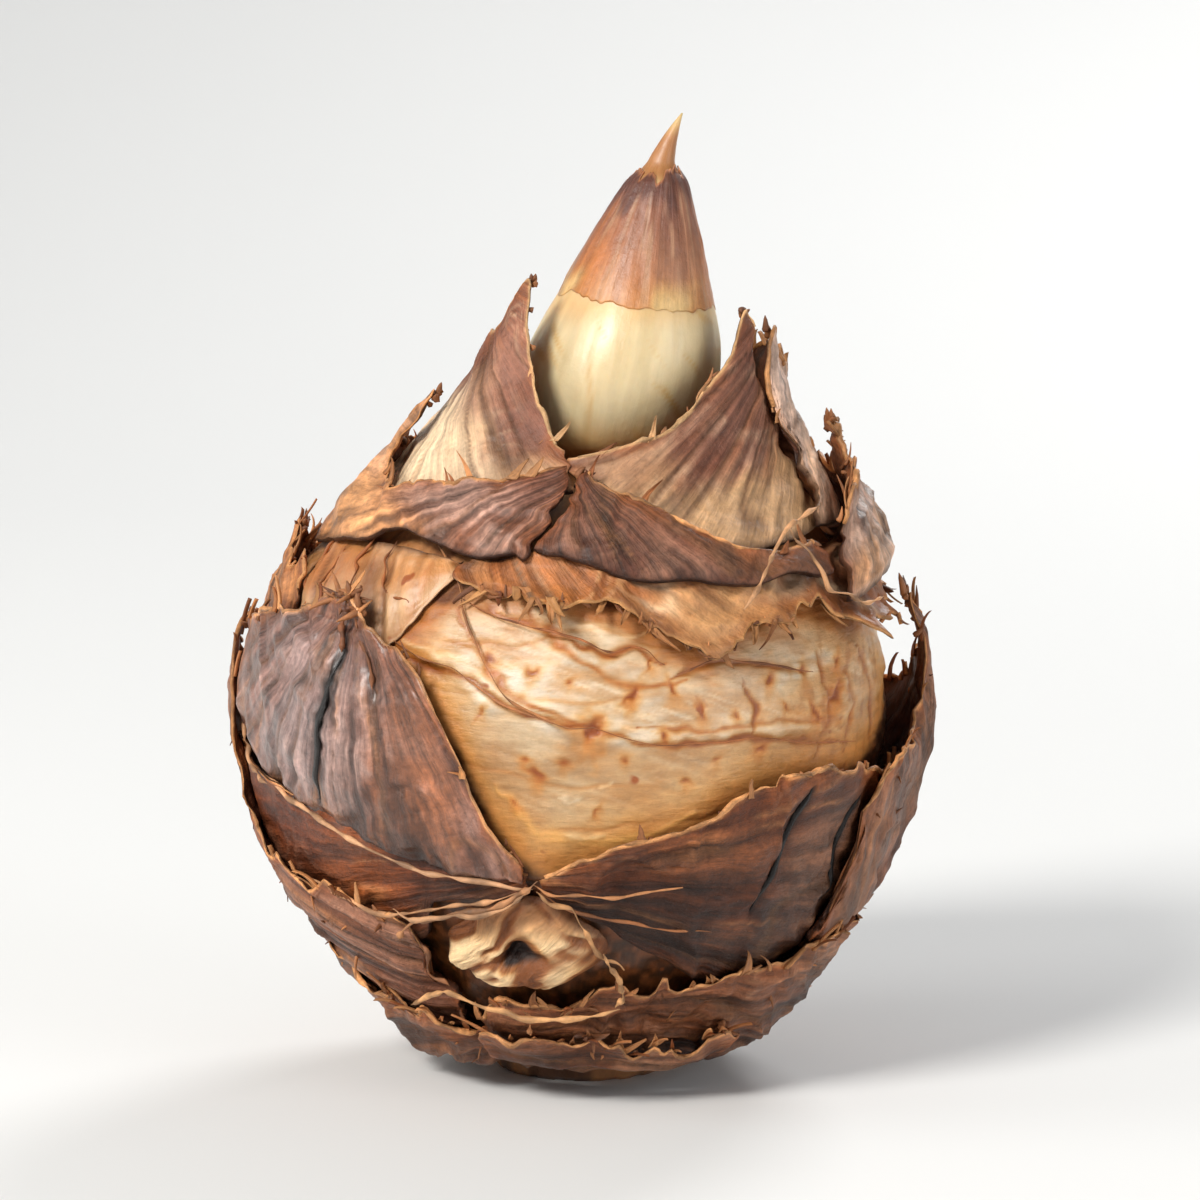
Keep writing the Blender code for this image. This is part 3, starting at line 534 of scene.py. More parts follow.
def make_flesh():
    sides, low_rows, high_rows, change_mm = 410, 33, 153, 13.6
    step = 1 + 0.75 * np.cos(np.linspace(-np.pi, np.pi, sides + 1)[:-1])
    degrees = np.cumsum(1 / step)
    degrees = 188 + 360 * degrees / degrees[-1]
    top = np.interp(27.0, SKIN[:, 1], SKIN_LENGTH)
    alongs = np.concatenate([np.linspace(0.0, change_mm, low_rows + 1)[:-1],
                             np.linspace(change_mm, top, high_rows)])
    d, s = np.meshgrid(degrees, alongs)
    relief, tint = flesh_field(d, s)
    foot_r = np.append(np.linspace(0.2, 4.55, 16), (4.8, 4.85))
    foot_z = np.interp(foot_r, (0.4, 3.6, 4.55, 4.8, 4.85), (0.05, 0.0, 0.0, 0.3, 0.8))
    foot_d, row = np.meshgrid(degrees, np.arange(len(foot_r)))
    x, y = round_place(foot_d, foot_r[row])
    pitted = 0.1 * np.clip(noise(x / 0.6, y / 0.6, 0, 15), 0, 1) * (foot_z[row] < 0.06)
    foot = placed(foot_d, foot_r[row], foot_z[row] + pitted)
    foot_tint = blend((96, 62, 40), (168, 116, 74), smooth(0.5 + rough(x / 1.1, y / 1.1, 0, 16)))
    crown = smooth_line(CROWN_LINE, 12)
    crown_d, row = np.meshgrid(degrees, np.arange(len(crown)))
    x, y = round_place(crown_d, crown[row, 0])
    bumps = rough(x / 1.6, y / 1.6, 0, 47)
    crown_points = placed(crown_d, crown[row, 0] - 0.2, crown[row, 1] + 0.14 * bumps)
    crown_tint = blend((104, 58, 30), (184, 126, 78), smooth(0.5 + 1.2 * bumps))
    rings = np.concatenate([foot, on_skin(d, s, relief - FLESH_SINK_MM), crown_points])
    spread = np.concatenate([3.3 * foot_r, np.full(len(s), FLESH_RADIUS), 1.1 * crown[:, 0]])
    fibre = stack(*round_place(degrees, 0.35 * spread[:, None]), np.arange(len(rings))[:, None] * 0.16)
    batch = Batch()
    add_round(batch, rings, np.concatenate([foot_tint, tint, crown_tint]), fibre, (0, -len(crown)))
    return batch.build("flesh_skin", FLESH, "flesh", ["corm_flesh"])


# Shoot and sheath.

SHOOT_LINE = [
    (3.0, 33.3), (4.4, 34.3), (5.1, 35.8), (5.4, 37.6), (5.2, 39.3), (4.7, 40.8), (4.1, 42.2),
    (3.3, 44.2), (2.4, 46.3), (1.6, 48.0), (0.85, 48.9), (0.62, 49.6), (0.34, 50.7), (0.05, 51.7),
]
SHEATH_LOW, SHEATH_HIGH = 41.0, 48.5
SHEATH_MM = 0.08
CREASE_DEGREES, CREASE_MM = (-18, 24, 96, 150, 215, 288), 0.16
SHOOT_RADIUS, SHEATH_RADIUS = 5, 4


def hem_height(degrees):
    """Where the sheath's torn lower edge runs."""
    x, y = round_place(degrees, 1)
    return (SHEATH_LOW + 0.75 - 0.5 * x + 0.25 * noise(4 * x, 4 * y, 0, 21)
            + 0.12 * noise(14 * x, 14 * y, 0, 22))


def make_shoot():
    sides = 150
    line = smooth_line(SHOOT_LINE, 124)
    d, row = np.meshgrid(360 * np.arange(sides) / sides, np.arange(len(line)))
    r, z = line[row, 0], line[row, 1]
    cx, cy = round_place(d, SHOOT_RADIUS)
    crease = 0.0
    for n, at in enumerate(CREASE_DEGREES):
        offset = (d - at - 9 * noise(z / 4, n, 0, 23) + 180) % 360 - 180
        shown = smooth(0.5 + noise(z / 2.5, n * 7, 0, 24) * 1.5)
        crease = crease + bell(offset * r / DEGREES_A_RADIAN / CREASE_MM) * shown
    bare = smooth((41.2 - z) / 0.8)
    r = r + (0.012 + 0.018 * bare) * rough(cx / 0.8, cy / 0.8, z / 5, 25) * (r > 0.8) - 0.05 * crease * bare
    streak = rough(cx / 0.5, cy / 0.5, z / 5, 26, 3)
    tint = blend((212, 184, 132), (228, 208, 166), smooth(0.65 + 0.25 * streak))
    slanted = rough((z + 1.3 * cx) / 0.7, (cx - z * 0.4) / 4, cy / 4, 17, 2)
    tint = stain(tint, (206, 158, 92), 0.6 * smooth(2.2 * slanted - 1.1))
    for mark, amount in (((206, 158, 84), 0.5 * np.clip(crease, 0, 1)),
                         ((226, 172, 104), 0.6 * smooth((z - 40.2) / 1.6)),
                         ((214, 164, 98), 0.8 * smooth((36.4 - z) / 2.2)),
                         ((174, 118, 68), smooth((z - 47.8) / 0.8)),
                         ((216, 178, 120), smooth((z - 50.2) / 1.2))):
        tint = blend(tint, mark, amount)
    batch = Batch()
    add_round(batch, placed(d, r, z), tint, stack(cx * 0.9, cy * 0.9, z * 0.14))
    return batch.build("shoot_skin", CREAM, "shoot", ["shoot"])


def make_sheath():
    sides, rows = 180, 64
    line = smooth_line(SHOOT_LINE, 500)
    d, v = np.meshgrid(360 * np.arange(sides) / sides, np.linspace(0, 1, rows))
    cx, cy = round_place(d, SHEATH_RADIUS)
    mouth = SHEATH_HIGH + 0.35 * noise(cx / 1.5, cy / 1.5, 5, 27) + 0.3 * noise(cx / 0.4, cy / 0.4, 5, 28)
    z = hem_height(d) + v * (mouth - hem_height(d))
    core = np.interp(z, line[:, 1], line[:, 0])
    wrinkle = 0.07 * rough(cx / 0.95 + 0.14 * z, cy / 0.95, z / 3, 29, 3)
    outer = (np.maximum(core, 0.95 + 0.25 * noise(cx / 1.1, cy / 1.1, 9, 32)) + 0.03
             + (wrinkle + 0.07) * smooth(v / 0.12))
    streak = rough(cx / 0.5 + 0.12 * z, cy / 0.5, z / 3, 30, 3)
    patch = smooth(0.5 + 1.2 * noise(cx / 1.6, cy / 1.6, z / 2, 31))
    blotch = smooth(0.5 + 1.1 * rough(cx / 2.2, cy / 2.2, z / 2.6, 33, 3))
    glow = smooth(0.5 + 1.3 * noise(cx / 2.4 + 3, cy / 2.4, z / 7, 35))
    tint = blend((168, 112, 78), (142, 88, 62), smooth((v - 0.15) / 0.6))
    for mark, amount in (((188, 108, 48), 0.85 * glow * smooth((0.85 - v) / 0.3)),
                         ((124, 74, 56), 0.6 * blotch * smooth((v - 0.3) / 0.3)),
                         ((206, 138, 68), smooth((0.3 - v) / 0.3) * (0.4 + 0.6 * patch)),
                         ((128, 74, 52), 0.2 * smooth(streak * 1.5 - 0.3)),
                         ((222, 178, 140), 0.3 * smooth(-streak * 1.5 - 0.3)),
                         ((88, 46, 34), 0.85 * smooth((v - 0.74 + 0.16 * blotch) / 0.2)),
                         ((190, 122, 80), smooth((v - 0.975) / 0.02)),
                         ((226, 184, 122), smooth((0.24 - v) / 0.22) * smooth(1.3 * patch - 0.3)),
                         ((206, 138, 72), 0.4 * smooth((0.025 - v) / 0.02) * (1 - 0.8 * patch))):
        tint = blend(tint, mark, amount)
    fibre = stack(cx * 1.4, cy * 1.4, z * 0.1)
    batch = Batch()
    # The inner face gets the outer colour darkened to 0.6: painted shade.
    batch.add(np.concatenate([placed(d, outer, z), placed(d, outer - SHEATH_MM, z)]),
              sheet_faces(rows, sides, wrap=True), np.concatenate([tint, tint * 0.6]),
              np.concatenate([fibre, fibre]))
    return batch.build("sheath_skin", SHEATH, "sheath", ["shoot_sheath"])


# Dry scales.

GRID_MM = 0.2
LAYER_SHARE = 0.68
SCALE_MM, RIM_MM = 0.3, 0.12
SCALE_LIFT_MM = 0.42

# A scale runs from its root line to its rim line, both (degrees, mm along, mm above). belly, curl, tuck,
# sink, settle and the shifts are mm; press is the share of the height above the skin that it keeps. fan
# is the place its fibres spread from, and zones are patches of another colour: degrees, mm along, half
# width in degrees, half height in mm, colour, strength.
DARK_LOOK = dict(ramp=0.3, curl=0.4, corner=0.9, tuck=0.8, root_wave=0.0, sink=0.0, press=LAYER_SHARE,
    fan=None, flow="up", cracks=(), zones=(), rim_shift=(), root_shift=(), settle=(), ripple=0.06,
    crumple=0.17, crack=0.3, grade=0.45, streaks=0.55, bloom=0.3, veins=0.45, root_tint=(98, 52, 28),
    tip_tint=(84, 45, 28), pale=(150, 108, 86), vein_tint=(186, 126, 80), edge_tint=(150, 80, 36),
    rim_tint=(222, 156, 98), cord=0.11, shreds=10, material=PAPER, slot="brown_scale")
TAN_LOOK = dict(DARK_LOOK, curl=0.3, streaks=0.24, bloom=0.2, veins=0.3, root_tint=(228, 186, 142),
    tip_tint=(128, 76, 54), pale=(224, 186, 152), vein_tint=(168, 104, 60), edge_tint=(168, 98, 56),
    rim_tint=(236, 184, 128), cord=0.09, material=TAN, slot="tan_scale")
BASE_LOOK = dict(DARK_LOOK, press=0.5, flow="round", tip_tint=(118, 70, 42), root_tint=(80, 42, 20),
    curl=0.12, shreds=30, tear=0.62, crumple=0.3, pale=(168, 122, 92), bloom=0.4)

SCALES = {
    "collar_scale_left": dict(TAN_LOOK, belly=0.25, tear=0.25, seed=11, fan=(-112, 50), curl=0.03,
        grade=0.5, corner=0.0, tuck=0.0, shreds=3, streaks=0.16, crumple=0.1, veins=0.5,
        root=[(-132, 37.6, 1.3), (-112, 36.6, 0.6), (-90, 36.0, 0.3), (-50, 36.2, 0.3), (-12, 37.4, 0.2)],
        rim=[(-132, 45.0, 1.2), (-108, 45.4, 0.5), (-78, 46.4, 0.2), (-66, 48.0, 0.4), (-58, 49.2, 0.6),
             (-50, 47.0, 0.2), (-33, 43.2, -0.4), (-20, 40.9, -0.5), (-12, 39.8, -0.5)],
        zones=((-34, 38.6, 22, 1.6, (206, 150, 104), 0.5), (-76, 39.4, 22, 3.0, (242, 210, 172), 1.0),
               (-46, 38.2, 14, 1.8, (240, 206, 168), 0.8), (-32, 41.0, 12, 2.0, (140, 92, 74), 0.75),
               (-54, 44.0, 14, 2.6, (168, 116, 94), 0.7))),
    "collar_scale_right": dict(TAN_LOOK, belly=0.25, tear=0.2, seed=12, fan=(112, 50), curl=0.03,
        grade=0.4, streaks=0.3, corner=0.0, tuck=0.0, shreds=4, root_tint=(188, 144, 100), crumple=0.07,
        root=[(-8, 37.8, 0.2), (12, 36.0, 0.2), (36, 33.4, 0.3), (52, 33.8, 0.2), (66, 34.6, 0.2)],
        rim=[(-8, 39.6, -0.5), (17, 41.0, -0.5), (33, 43.2, -0.3), (49, 45.4, 0.1), (59, 47.6, 0.2),
             (66, 46.0, 0.0)],
        zones=((44, 42.4, 22, 3.2, (128, 84, 66), 0.9), (10, 39.0, 12, 1.3, (196, 148, 106), 0.6),
               (40, 35.4, 15, 2.2, (192, 150, 108), 1.0))),
    "collar_scale_side": dict(DARK_LOOK, belly=0.15, tear=0.3, seed=13, fan=(74, 54),
        tip_tint=(216, 182, 162), streaks=0.25, crumple=0.1, edge_tint=(196, 140, 94),
        root_tint=(210, 168, 136), tuck=0.3, shreds=9, veins=0.4, bloom=0.4, pale=(206, 174, 154),
        root=[(60, 34.2, 1.4), (68, 34.1, 1.35), (80, 34.0, 0.7), (95, 34.0, 0.3), (131, 34.6, 0.2)],
        rim=[(60, 40.0, 1.4), (66, 45.0, 1.45), (72, 46.6, 1.5), (84, 43.6, 1.0), (105, 44.8, 0.4),
             (131, 43.0, 0.2)]),
    "collar_scale_back": dict(TAN_LOOK, belly=0.4, tear=0.3, seed=14, fan=(180, 53), slot="brown_scale",
        root=[(134, 36.0, 0.2), (180, 35.6, 0.2), (232, 36.0, 0.2)],
        rim=[(134, 43.6, 0.0), (160, 46.4, 0.2), (178, 48.4, 0.6), (196, 46.2, 0.2), (232, 44.6, 0.0)]),
    "neck_scale_left": dict(DARK_LOOK, belly=0.0, tear=0.35, seed=21, root_wave=0.5, fan=(-5, 39.0),
        root_tint=(120, 72, 48), tip_tint=(116, 76, 62), curl=0.1, corner=0.1, tuck=0.35, bloom=0.5,
        shreds=8, pale=(184, 146, 128),
        root=[(-122, 33.0, 1.2), (-90, 32.6, 1.2), (-62, 33.4, 1.1), (-48, 35.2, 1.1), (-38, 34.9, 1.0),
              (-22, 34.1, 0.95), (-14, 34.4, 0.95), (-11, 36.0, 0.95)],
        rim=[(-122, 38.4, 1.9), (-96, 39.0, 1.7), (-83, 41.6, 2.2), (-70, 38.6, 1.6), (-53, 37.2, 1.5),
             (-30, 37.9, 1.45), (-11, 38.6, 1.3)],
        # The first zone is a painted highlight, a paler patch where the scale catches the light.
        zones=((-34, 36.4, 13, 1.5, (184, 142, 124), 0.7), (-84, 36.0, 22, 6.0, (212, 152, 102), 1.0),
               (-58, 33.6, 14, 1.5, (206, 146, 98), 0.95), (-104, 35.0, 20, 6.0, (184, 120, 74), 0.9)),
        rim_shift=((-122, -0.6), (-96, -0.4), (-83, 0.0), (-76, -1.6), (-64, -1.9), (-52, -0.2)),
        root_shift=((-62, 0.0), (-48, -1.0), (-22, -0.2), (-16, -0.6), (-11, -2.2))),
    "neck_scale_right": dict(DARK_LOOK, belly=0.0, tear=0.15, seed=22, root_wave=0.5, fan=(-16, 39.5),
        root_tint=(80, 44, 30), tip_tint=(112, 68, 50), curl=0.08, corner=0.1, tuck=0.3, shreds=4,
        root=[(-9, 35.4, 1.2), (-5, 33.6, 1.2), (3, 32.6, 1.3), (20, 31.8, 1.35), (36, 31.2, 1.35),
              (56, 31.6, 1.3)],
        rim=[(-9, 38.4, 1.35), (6, 36.6, 1.45), (20, 34.9, 1.5), (36, 32.9, 1.5), (56, 33.2, 1.4)],
        zones=((44, 32.4, 10, 2.0, (170, 112, 76), 0.6),),
        root_shift=((-9, -1.8), (-5, -0.3), (3, 0.0))),
    "neck_scale_side": dict(DARK_LOOK, belly=0.0, tear=0.7, seed=23, root_wave=0.5, fan=(88, 45),
        tip_tint=(176, 138, 118), root_tint=(186, 140, 104), streaks=0.35, bloom=0.6,
        pale=(204, 170, 148), shreds=16, crumple=0.22,
        root=[(59, 30.2, 2.2), (70, 30.3, 2.4), (80, 30.4, 2.3), (104, 30.6, 2.15), (130, 31.0, 2.2)],
        rim=[(59, 33.4, 2.5), (70, 35.2, 2.6), (80, 36.6, 2.6), (88, 39.0, 2.9), (97, 36.4, 2.3),
             (130, 36.0, 2.2)]),
    "neck_scale_back": dict(DARK_LOOK, belly=0.0, tear=0.4, seed=24, root_wave=0.5, fan=(190, 46),
        root_tint=(136, 86, 54),
        root=[(124, 31.0, 1.2), (150, 31.6, 1.3), (195, 31.4, 1.3), (236, 31.6, 1.2)],
        rim=[(124, 35.4, 1.2), (150, 38.6, 1.5), (168, 37.0, 1.5), (196, 40.2, 1.8), (214, 37.4, 1.5),
             (236, 35.0, 1.2)]),
    "skirt_scale_right": dict(TAN_LOOK, belly=0.1, tear=0.62, seed=31, fan=(-52, 41), curl=0.4, grade=0.6,
        tip_tint=(178, 104, 46), rim_tint=(212, 150, 90), streaks=0.42, root_tint=(150, 84, 42),
        edge_tint=(120, 62, 28), crumple=0.3, vein_tint=(240, 204, 162), veins=0.6, tuck=0.2, shreds=44,
        cord=0.06, pale=(222, 170, 116), bloom=0.3,
        root=[(-26, 33.4, 0.0), (0, 34.0, 0.0), (34, 33.0, 0.0), (66, 33.4, 0.0), (112, 33.4, 0.0)],
        rim=[(-26, 31.0, 0.1), (-10, 31.2, 0.1), (5, 30.4, 0.1), (15, 28.8, 0.2), (24, 27.6, 0.3),
             (36, 29.6, 0.2), (50, 29.8, 0.2), (64, 28.4, 0.3), (78, 28.8, 0.5), (90, 29.6, 0.8),
             (100, 28.0, 0.4), (112, 28.4, 0.1)],
        zones=((24, 30.2, 14, 1.5, (222, 168, 112), 0.5), (66, 31.0, 14, 2.0, (120, 72, 46), 0.7),
               (-8, 32.6, 12, 1.2, (206, 132, 78), 0.6))),
    "skirt_scale_left": dict(TAN_LOOK, belly=0.1, tear=0.25, seed=32, curl=0.0, sink=0.36, material=FLESH,
        grade=0.4, tip_tint=(214, 168, 124), streaks=0.14, root_tint=(200, 136, 80),
        edge_tint=(188, 116, 60), rim_tint=(226, 176, 130), vein_tint=(190, 112, 58), cord=0.0, tuck=0.9,
        veins=0.5, shreds=4,
        root=[(-112, 33.4, 0.0), (-80, 33.6, 0.0), (-50, 33.6, 0.0), (-28, 33.2, 0.0)],
        rim=[(-112, 25.4, 0.0), (-80, 25.2, 0.0), (-56, 25.2, 0.0), (-44, 26.6, 0.0), (-35, 29.2, 0.0),
             (-28, 32.4, 0.0)],
        zones=((-70, 31.5, 16, 1.6, (170, 100, 54), 0.6), (-90, 28.5, 14, 4.0, (214, 156, 100), 0.7))),
    "skirt_scale_back": dict(TAN_LOOK, belly=0.1, tear=0.7, seed=33, curl=0.4, grade=0.6,
        tip_tint=(182, 118, 70), streaks=0.42, cord=0.07, crumple=0.28, pale=(230, 190, 148), bloom=0.4,
        root_tint=(170, 104, 58), vein_tint=(240, 198, 148), veins=0.6, shreds=56,
        root=[(114, 33.4, 0.0), (180, 33.0, 0.0), (246, 33.4, 0.0)],
        rim=[(114, 28.2, 0.2), (132, 26.0, 0.3), (150, 27.6, 0.2), (172, 25.0, 0.2), (200, 27.6, 0.3),
             (222, 25.4, 0.3), (246, 25.8, 0.1)],
        zones=((150, 29.5, 18, 2.0, (140, 84, 52), 0.6), (205, 29.0, 20, 2.5, (224, 172, 120), 0.6))),
    "shoulder_scale_left": dict(DARK_LOOK, belly=0.0, tear=0.4, seed=34, root_wave=0.5,
        tip_tint=(184, 124, 76), root_tint=(132, 80, 48), shreds=16,
        root=[(-134, 27.4, 1.3), (-108, 26.8, 1.2), (-90, 26.9, 1.05), (-70, 28.8, 1.0)],
        rim=[(-134, 30.6, 1.3), (-112, 31.0, 1.2), (-98, 31.6, 1.4), (-90, 32.0, 2.0), (-82, 31.2, 1.4),
             (-70, 30.6, 1.1)]),
    "side_scale_left": dict(DARK_LOOK, belly=0.3, tear=0.3, seed=41, fan=(-46.5, 31.6), curl=0.3,
        corner=0.1, tuck=0.45, bloom=0.4, shreds=12, crumple=0.22, crack=0.34, pale=(186, 152, 140),
        material=SILKY, ripple=0.12, tip_tint=(112, 72, 56), root_tint=(98, 56, 36),
        root=[(-98, 20.4, 0.95), (-71, 19.8, 0.95), (-47, 18.4, 0.95), (-31, 17.2, 0.95),
              (-9, 16.5, 0.8)],
        rim=[(-98, 25.6, 1.0), (-75, 27.4, 1.1), (-60, 28.6, 1.3), (-48, 30.2, 1.7), (-41, 29.0, 1.3),
             (-30, 27.2, 0.95), (-22, 24.0, 0.7), (-16, 19.8, 0.6), (-9, 17.3, 0.6)],
        # The first zone is a painted sheen: a pale grey-mauve patch where the scale catches the light.
        zones=((-60, 24.4, 17, 3.6, (164, 136, 130), 0.8), (-28, 22.0, 8, 4.5, (148, 88, 52), 0.7),
               (-72, 25.5, 12, 2.6, (124, 84, 70), 0.6)),
        cracks=([(-44, 27.6), (-47, 24.5), (-50, 22.0), (-53, 19.8)],),
        settle=((-98, 0.85), (-84, 0.7), (-72, 0.25), (-60, 0.0)),
        rim_shift=((-98, 1.2), (-72, 0.9), (-60, 0.5), (-50, 0.0))),
    "inner_scale_left": dict(DARK_LOOK, belly=0.0, tear=0.1, seed=42, fan=(-2, 17.4), curl=0.0,
        corner=0.2, tuck=0.0, tip_tint=(98, 44, 14), root_tint=(70, 32, 10), cord=0.0, bloom=0.1,
        shreds=0,
        root=[(-94, 11.5, 0.0), (-62, 11.5, 0.0), (-43, 11.5, 0.0), (-35, 12.4, 0.0), (-30, 14.8, 0.0),
              (-11, 15.6, 0.0)],
        rim=[(-94, 21.6, 0.0), (-62, 19.8, 0.0), (-47, 19.0, 0.0), (-31, 17.8, 0.0), (-20, 17.4, 0.0),
             (-11, 17.0, 0.0)],
        zones=((-48, 16.0, 12, 2.2, (136, 70, 28), 0.6),),
        settle=((-94, 1.5), (-82, 1.35), (-72, 0.95), (-62, 0.55), (-47, 0.25), (-32, 0.0))),
    "side_scale_right": dict(DARK_LOOK, belly=0.1, tear=0.2, seed=43, fan=(-17, 16.6), curl=0.16,
        corner=0.1, tuck=0.1, bloom=0.18, shreds=7, tip_tint=(86, 40, 14), root_tint=(62, 28, 8),
        crumple=0.26, pale=(144, 94, 60),
        root=[(-7, 15.8, 0.2), (1, 14.4, 0.2), (14, 11.8, 0.2), (34, 9.4, 0.2), (50, 9.8, 0.2),
              (66, 12.4, 0.2), (92, 14.0, 0.2)],
        rim=[(-7, 16.8, 0.4), (10, 18.7, 0.4), (21, 19.5, 0.4), (30, 20.9, 0.4), (43, 21.7, 0.35),
             (66, 20.8, 0.2), (92, 20.0, 0.2)],
        zones=((26, 17.6, 12, 1.6, (134, 78, 44), 0.55), (54, 16.5, 12, 3.6, (120, 82, 60), 0.7),
               (16, 14.5, 12, 2.0, (50, 24, 10), 0.75)),
        cracks=([(44, 20.9), (42.5, 19.4), (38.5, 17.0), (35, 14.2)], [(62, 20.4), (58.5, 17.6),
                (60, 15.0), (57, 13.0)])),
    "outer_scale_right": dict(DARK_LOOK, belly=0.2, tear=0.4, seed=44, fan=(90, 34),
        tip_tint=(134, 88, 62), curl=0.2, shreds=22, press=0.9, crumple=0.2, pale=(164, 122, 100),
        root=[(60, 10.6, 1.25), (67, 10.4, 1.15), (78, 9.6, 0.4), (100, 9.2, 0.2), (126, 9.6, 0.5),
              (138, 9.8, 1.25), (148, 9.8, 1.25)],
        rim=[(60, 14.6, 1.3), (61.5, 19.8, 1.3), (68, 21.6, 1.3), (78, 22.4, 1.35), (85, 24.4, 1.5),
             (90, 28.6, 2.0), (95, 26.0, 1.6), (118, 23.2, 1.3), (148, 24.6, 1.25)],
        settle=((60, -0.15), (72, -0.2), (84, -0.1), (90, 0.0))),
    "outer_scale_left": dict(DARK_LOOK, belly=0.0, tear=0.4, ramp=0.75, seed=45, fan=(266, 32),
        tip_tint=(112, 66, 42), curl=0.2, shreds=24, press=0.94, crumple=0.22, pale=(170, 128, 106),
        root=[(205, 9.6, 1.25), (216, 9.4, 1.25), (238, 9.2, 0.5), (258, 8.6, 0.3), (280, 6.4, 0.2),
              (300, 5.6, 0.2), (318, 5.2, 0.2), (326, 6.6, 0.2)],
        rim=[(205, 21.0, 1.25), (224, 25.4, 1.35), (240, 24.0, 1.4), (254, 24.6, 1.9), (264, 26.6, 2.6),
             (268, 24.6, 2.6), (272, 21.0, 2.5), (277, 17.8, 2.3), (286, 16.4, 1.7), (298, 15.2, 1.15),
             (316, 13.9, 0.95), (323, 13.6, 0.95), (326, 11.4, 0.95)],
        settle=((258, 0.0), (268, -0.5), (277, -0.4), (286, 0.0), (298, 0.1), (312, 0.0))),
    "back_scale": dict(DARK_LOOK, belly=0.0, tear=0.4, seed=46, fan=(180, 34), tip_tint=(108, 66, 42),
        shreds=8,
        root=[(143, 9.4, 0.2), (180, 8.8, 0.2), (212, 9.4, 0.2)],
        rim=[(143, 20.0, 0.2), (156, 24.0, 0.25), (170, 24.4, 0.3), (180, 24.4, 0.3), (192, 24.0, 0.25),
             (212, 20.0, 0.2)]),
    "base_scale_left": dict(BASE_LOOK, belly=0.0, seed=52,
        root=[(-126, 2.0, 0.0), (-80, 1.8, 0.0), (-35, 1.8, 0.0), (-26, 1.8, 0.0)],
        rim=[(-126, 9.4, 1.9), (-104, 9.8, 2.0), (-88, 11.4, 2.6), (-76, 9.4, 2.2), (-62, 8.2, 2.0),
             (-48, 7.0, 1.95), (-35, 6.4, 1.5), (-26, 6.4, 0.2)],
        settle=((-104, 0.0), (-88, -0.35), (-72, 0.0))),
    "base_scale_right": dict(BASE_LOOK, belly=0.0, seed=53,
        root=[(-31, 1.8, 0.0), (0, 1.7, 0.0), (45, 1.8, 0.0), (96, 2.0, 0.0)],
        rim=[(-31, 7.6, 1.1), (-20, 8.4, 1.15), (-4, 8.4, 1.2), (12, 9.4, 1.2), (34, 10.2, 1.3),
             (49, 11.0, 2.2), (70, 11.4, 2.45), (84, 12.4, 2.6), (96, 10.8, 2.3)],
        settle=((-31, 0.0), (-10, -0.2), (30, -0.2), (60, 0.0))),
    "foot_scale_front": dict(BASE_LOOK, belly=0.0, tear=0.7, seed=55, curl=0.15, shreds=20,
        root=[(-32, 4.0, 2.0), (0, 4.0, 2.0), (44, 4.2, 2.3)],
        rim=[(-32, 6.6, 2.2), (-15, 6.5, 2.2), (1, 6.2, 2.2), (17, 5.9, 2.3), (31, 6.4, 2.6),
             (44, 7.6, 2.9)]),
    "base_scale_back": dict(BASE_LOOK, belly=0.0, seed=54, shreds=44,
        root=[(101, 2.0, 0.0), (165, 1.8, 0.0), (229, 2.0, 0.0)],
        rim=[(101, 10.0, 2.0), (126, 12.4, 2.4), (150, 10.6, 2.4), (182, 12.6, 2.3), (206, 10.4, 2.3),
             (229, 9.8, 1.9)]),
}


def scale_size(spec):
    """First and last degrees, radius and greatest length in mm, and the way: 1 up, -1 down."""
    first, last = spec["rim"][0][0], spec["rim"][-1][0]
    rim = edge_at(spec["rim"], np.linspace(first, last, 30))[0]
    root = edge_at(spec["root"], np.linspace(first, last, 30))[0]
    length = rim - root
    return first, last, skin_radius(np.mean(rim + root) / 2), np.max(np.abs(length)), np.sign(np.mean(length))


def torn_rim(spec, d):
    """How far the torn rim stands beyond its line, and the distance to the nearer side, both in mm."""
    first, last, radius = scale_size(spec)[:3]
    seed, arc = spec["seed"], np.radians(d) * radius
    spikes = np.maximum(0, noise(arc / 0.8, seed, 0, 44) - 0.25) ** 1.5
    spikes = spikes * smooth(0.6 + noise(arc / 5.0, seed, 0, 39))
    wave = spec["tear"] * (0.8 * noise(arc / 2.4, seed, 0, 42) + 0.7 * noise(arc / 0.8, seed, 0, 43)
                           + 0.24 * noise(arc / 0.36, seed, 0, 37) + 3.0 * spikes)
    side_room = np.minimum(arc - np.radians(first) * radius, np.radians(last) * radius - arc)
    return wave - spec["corner"] * (1 - smooth(side_room / 1.6)), side_room


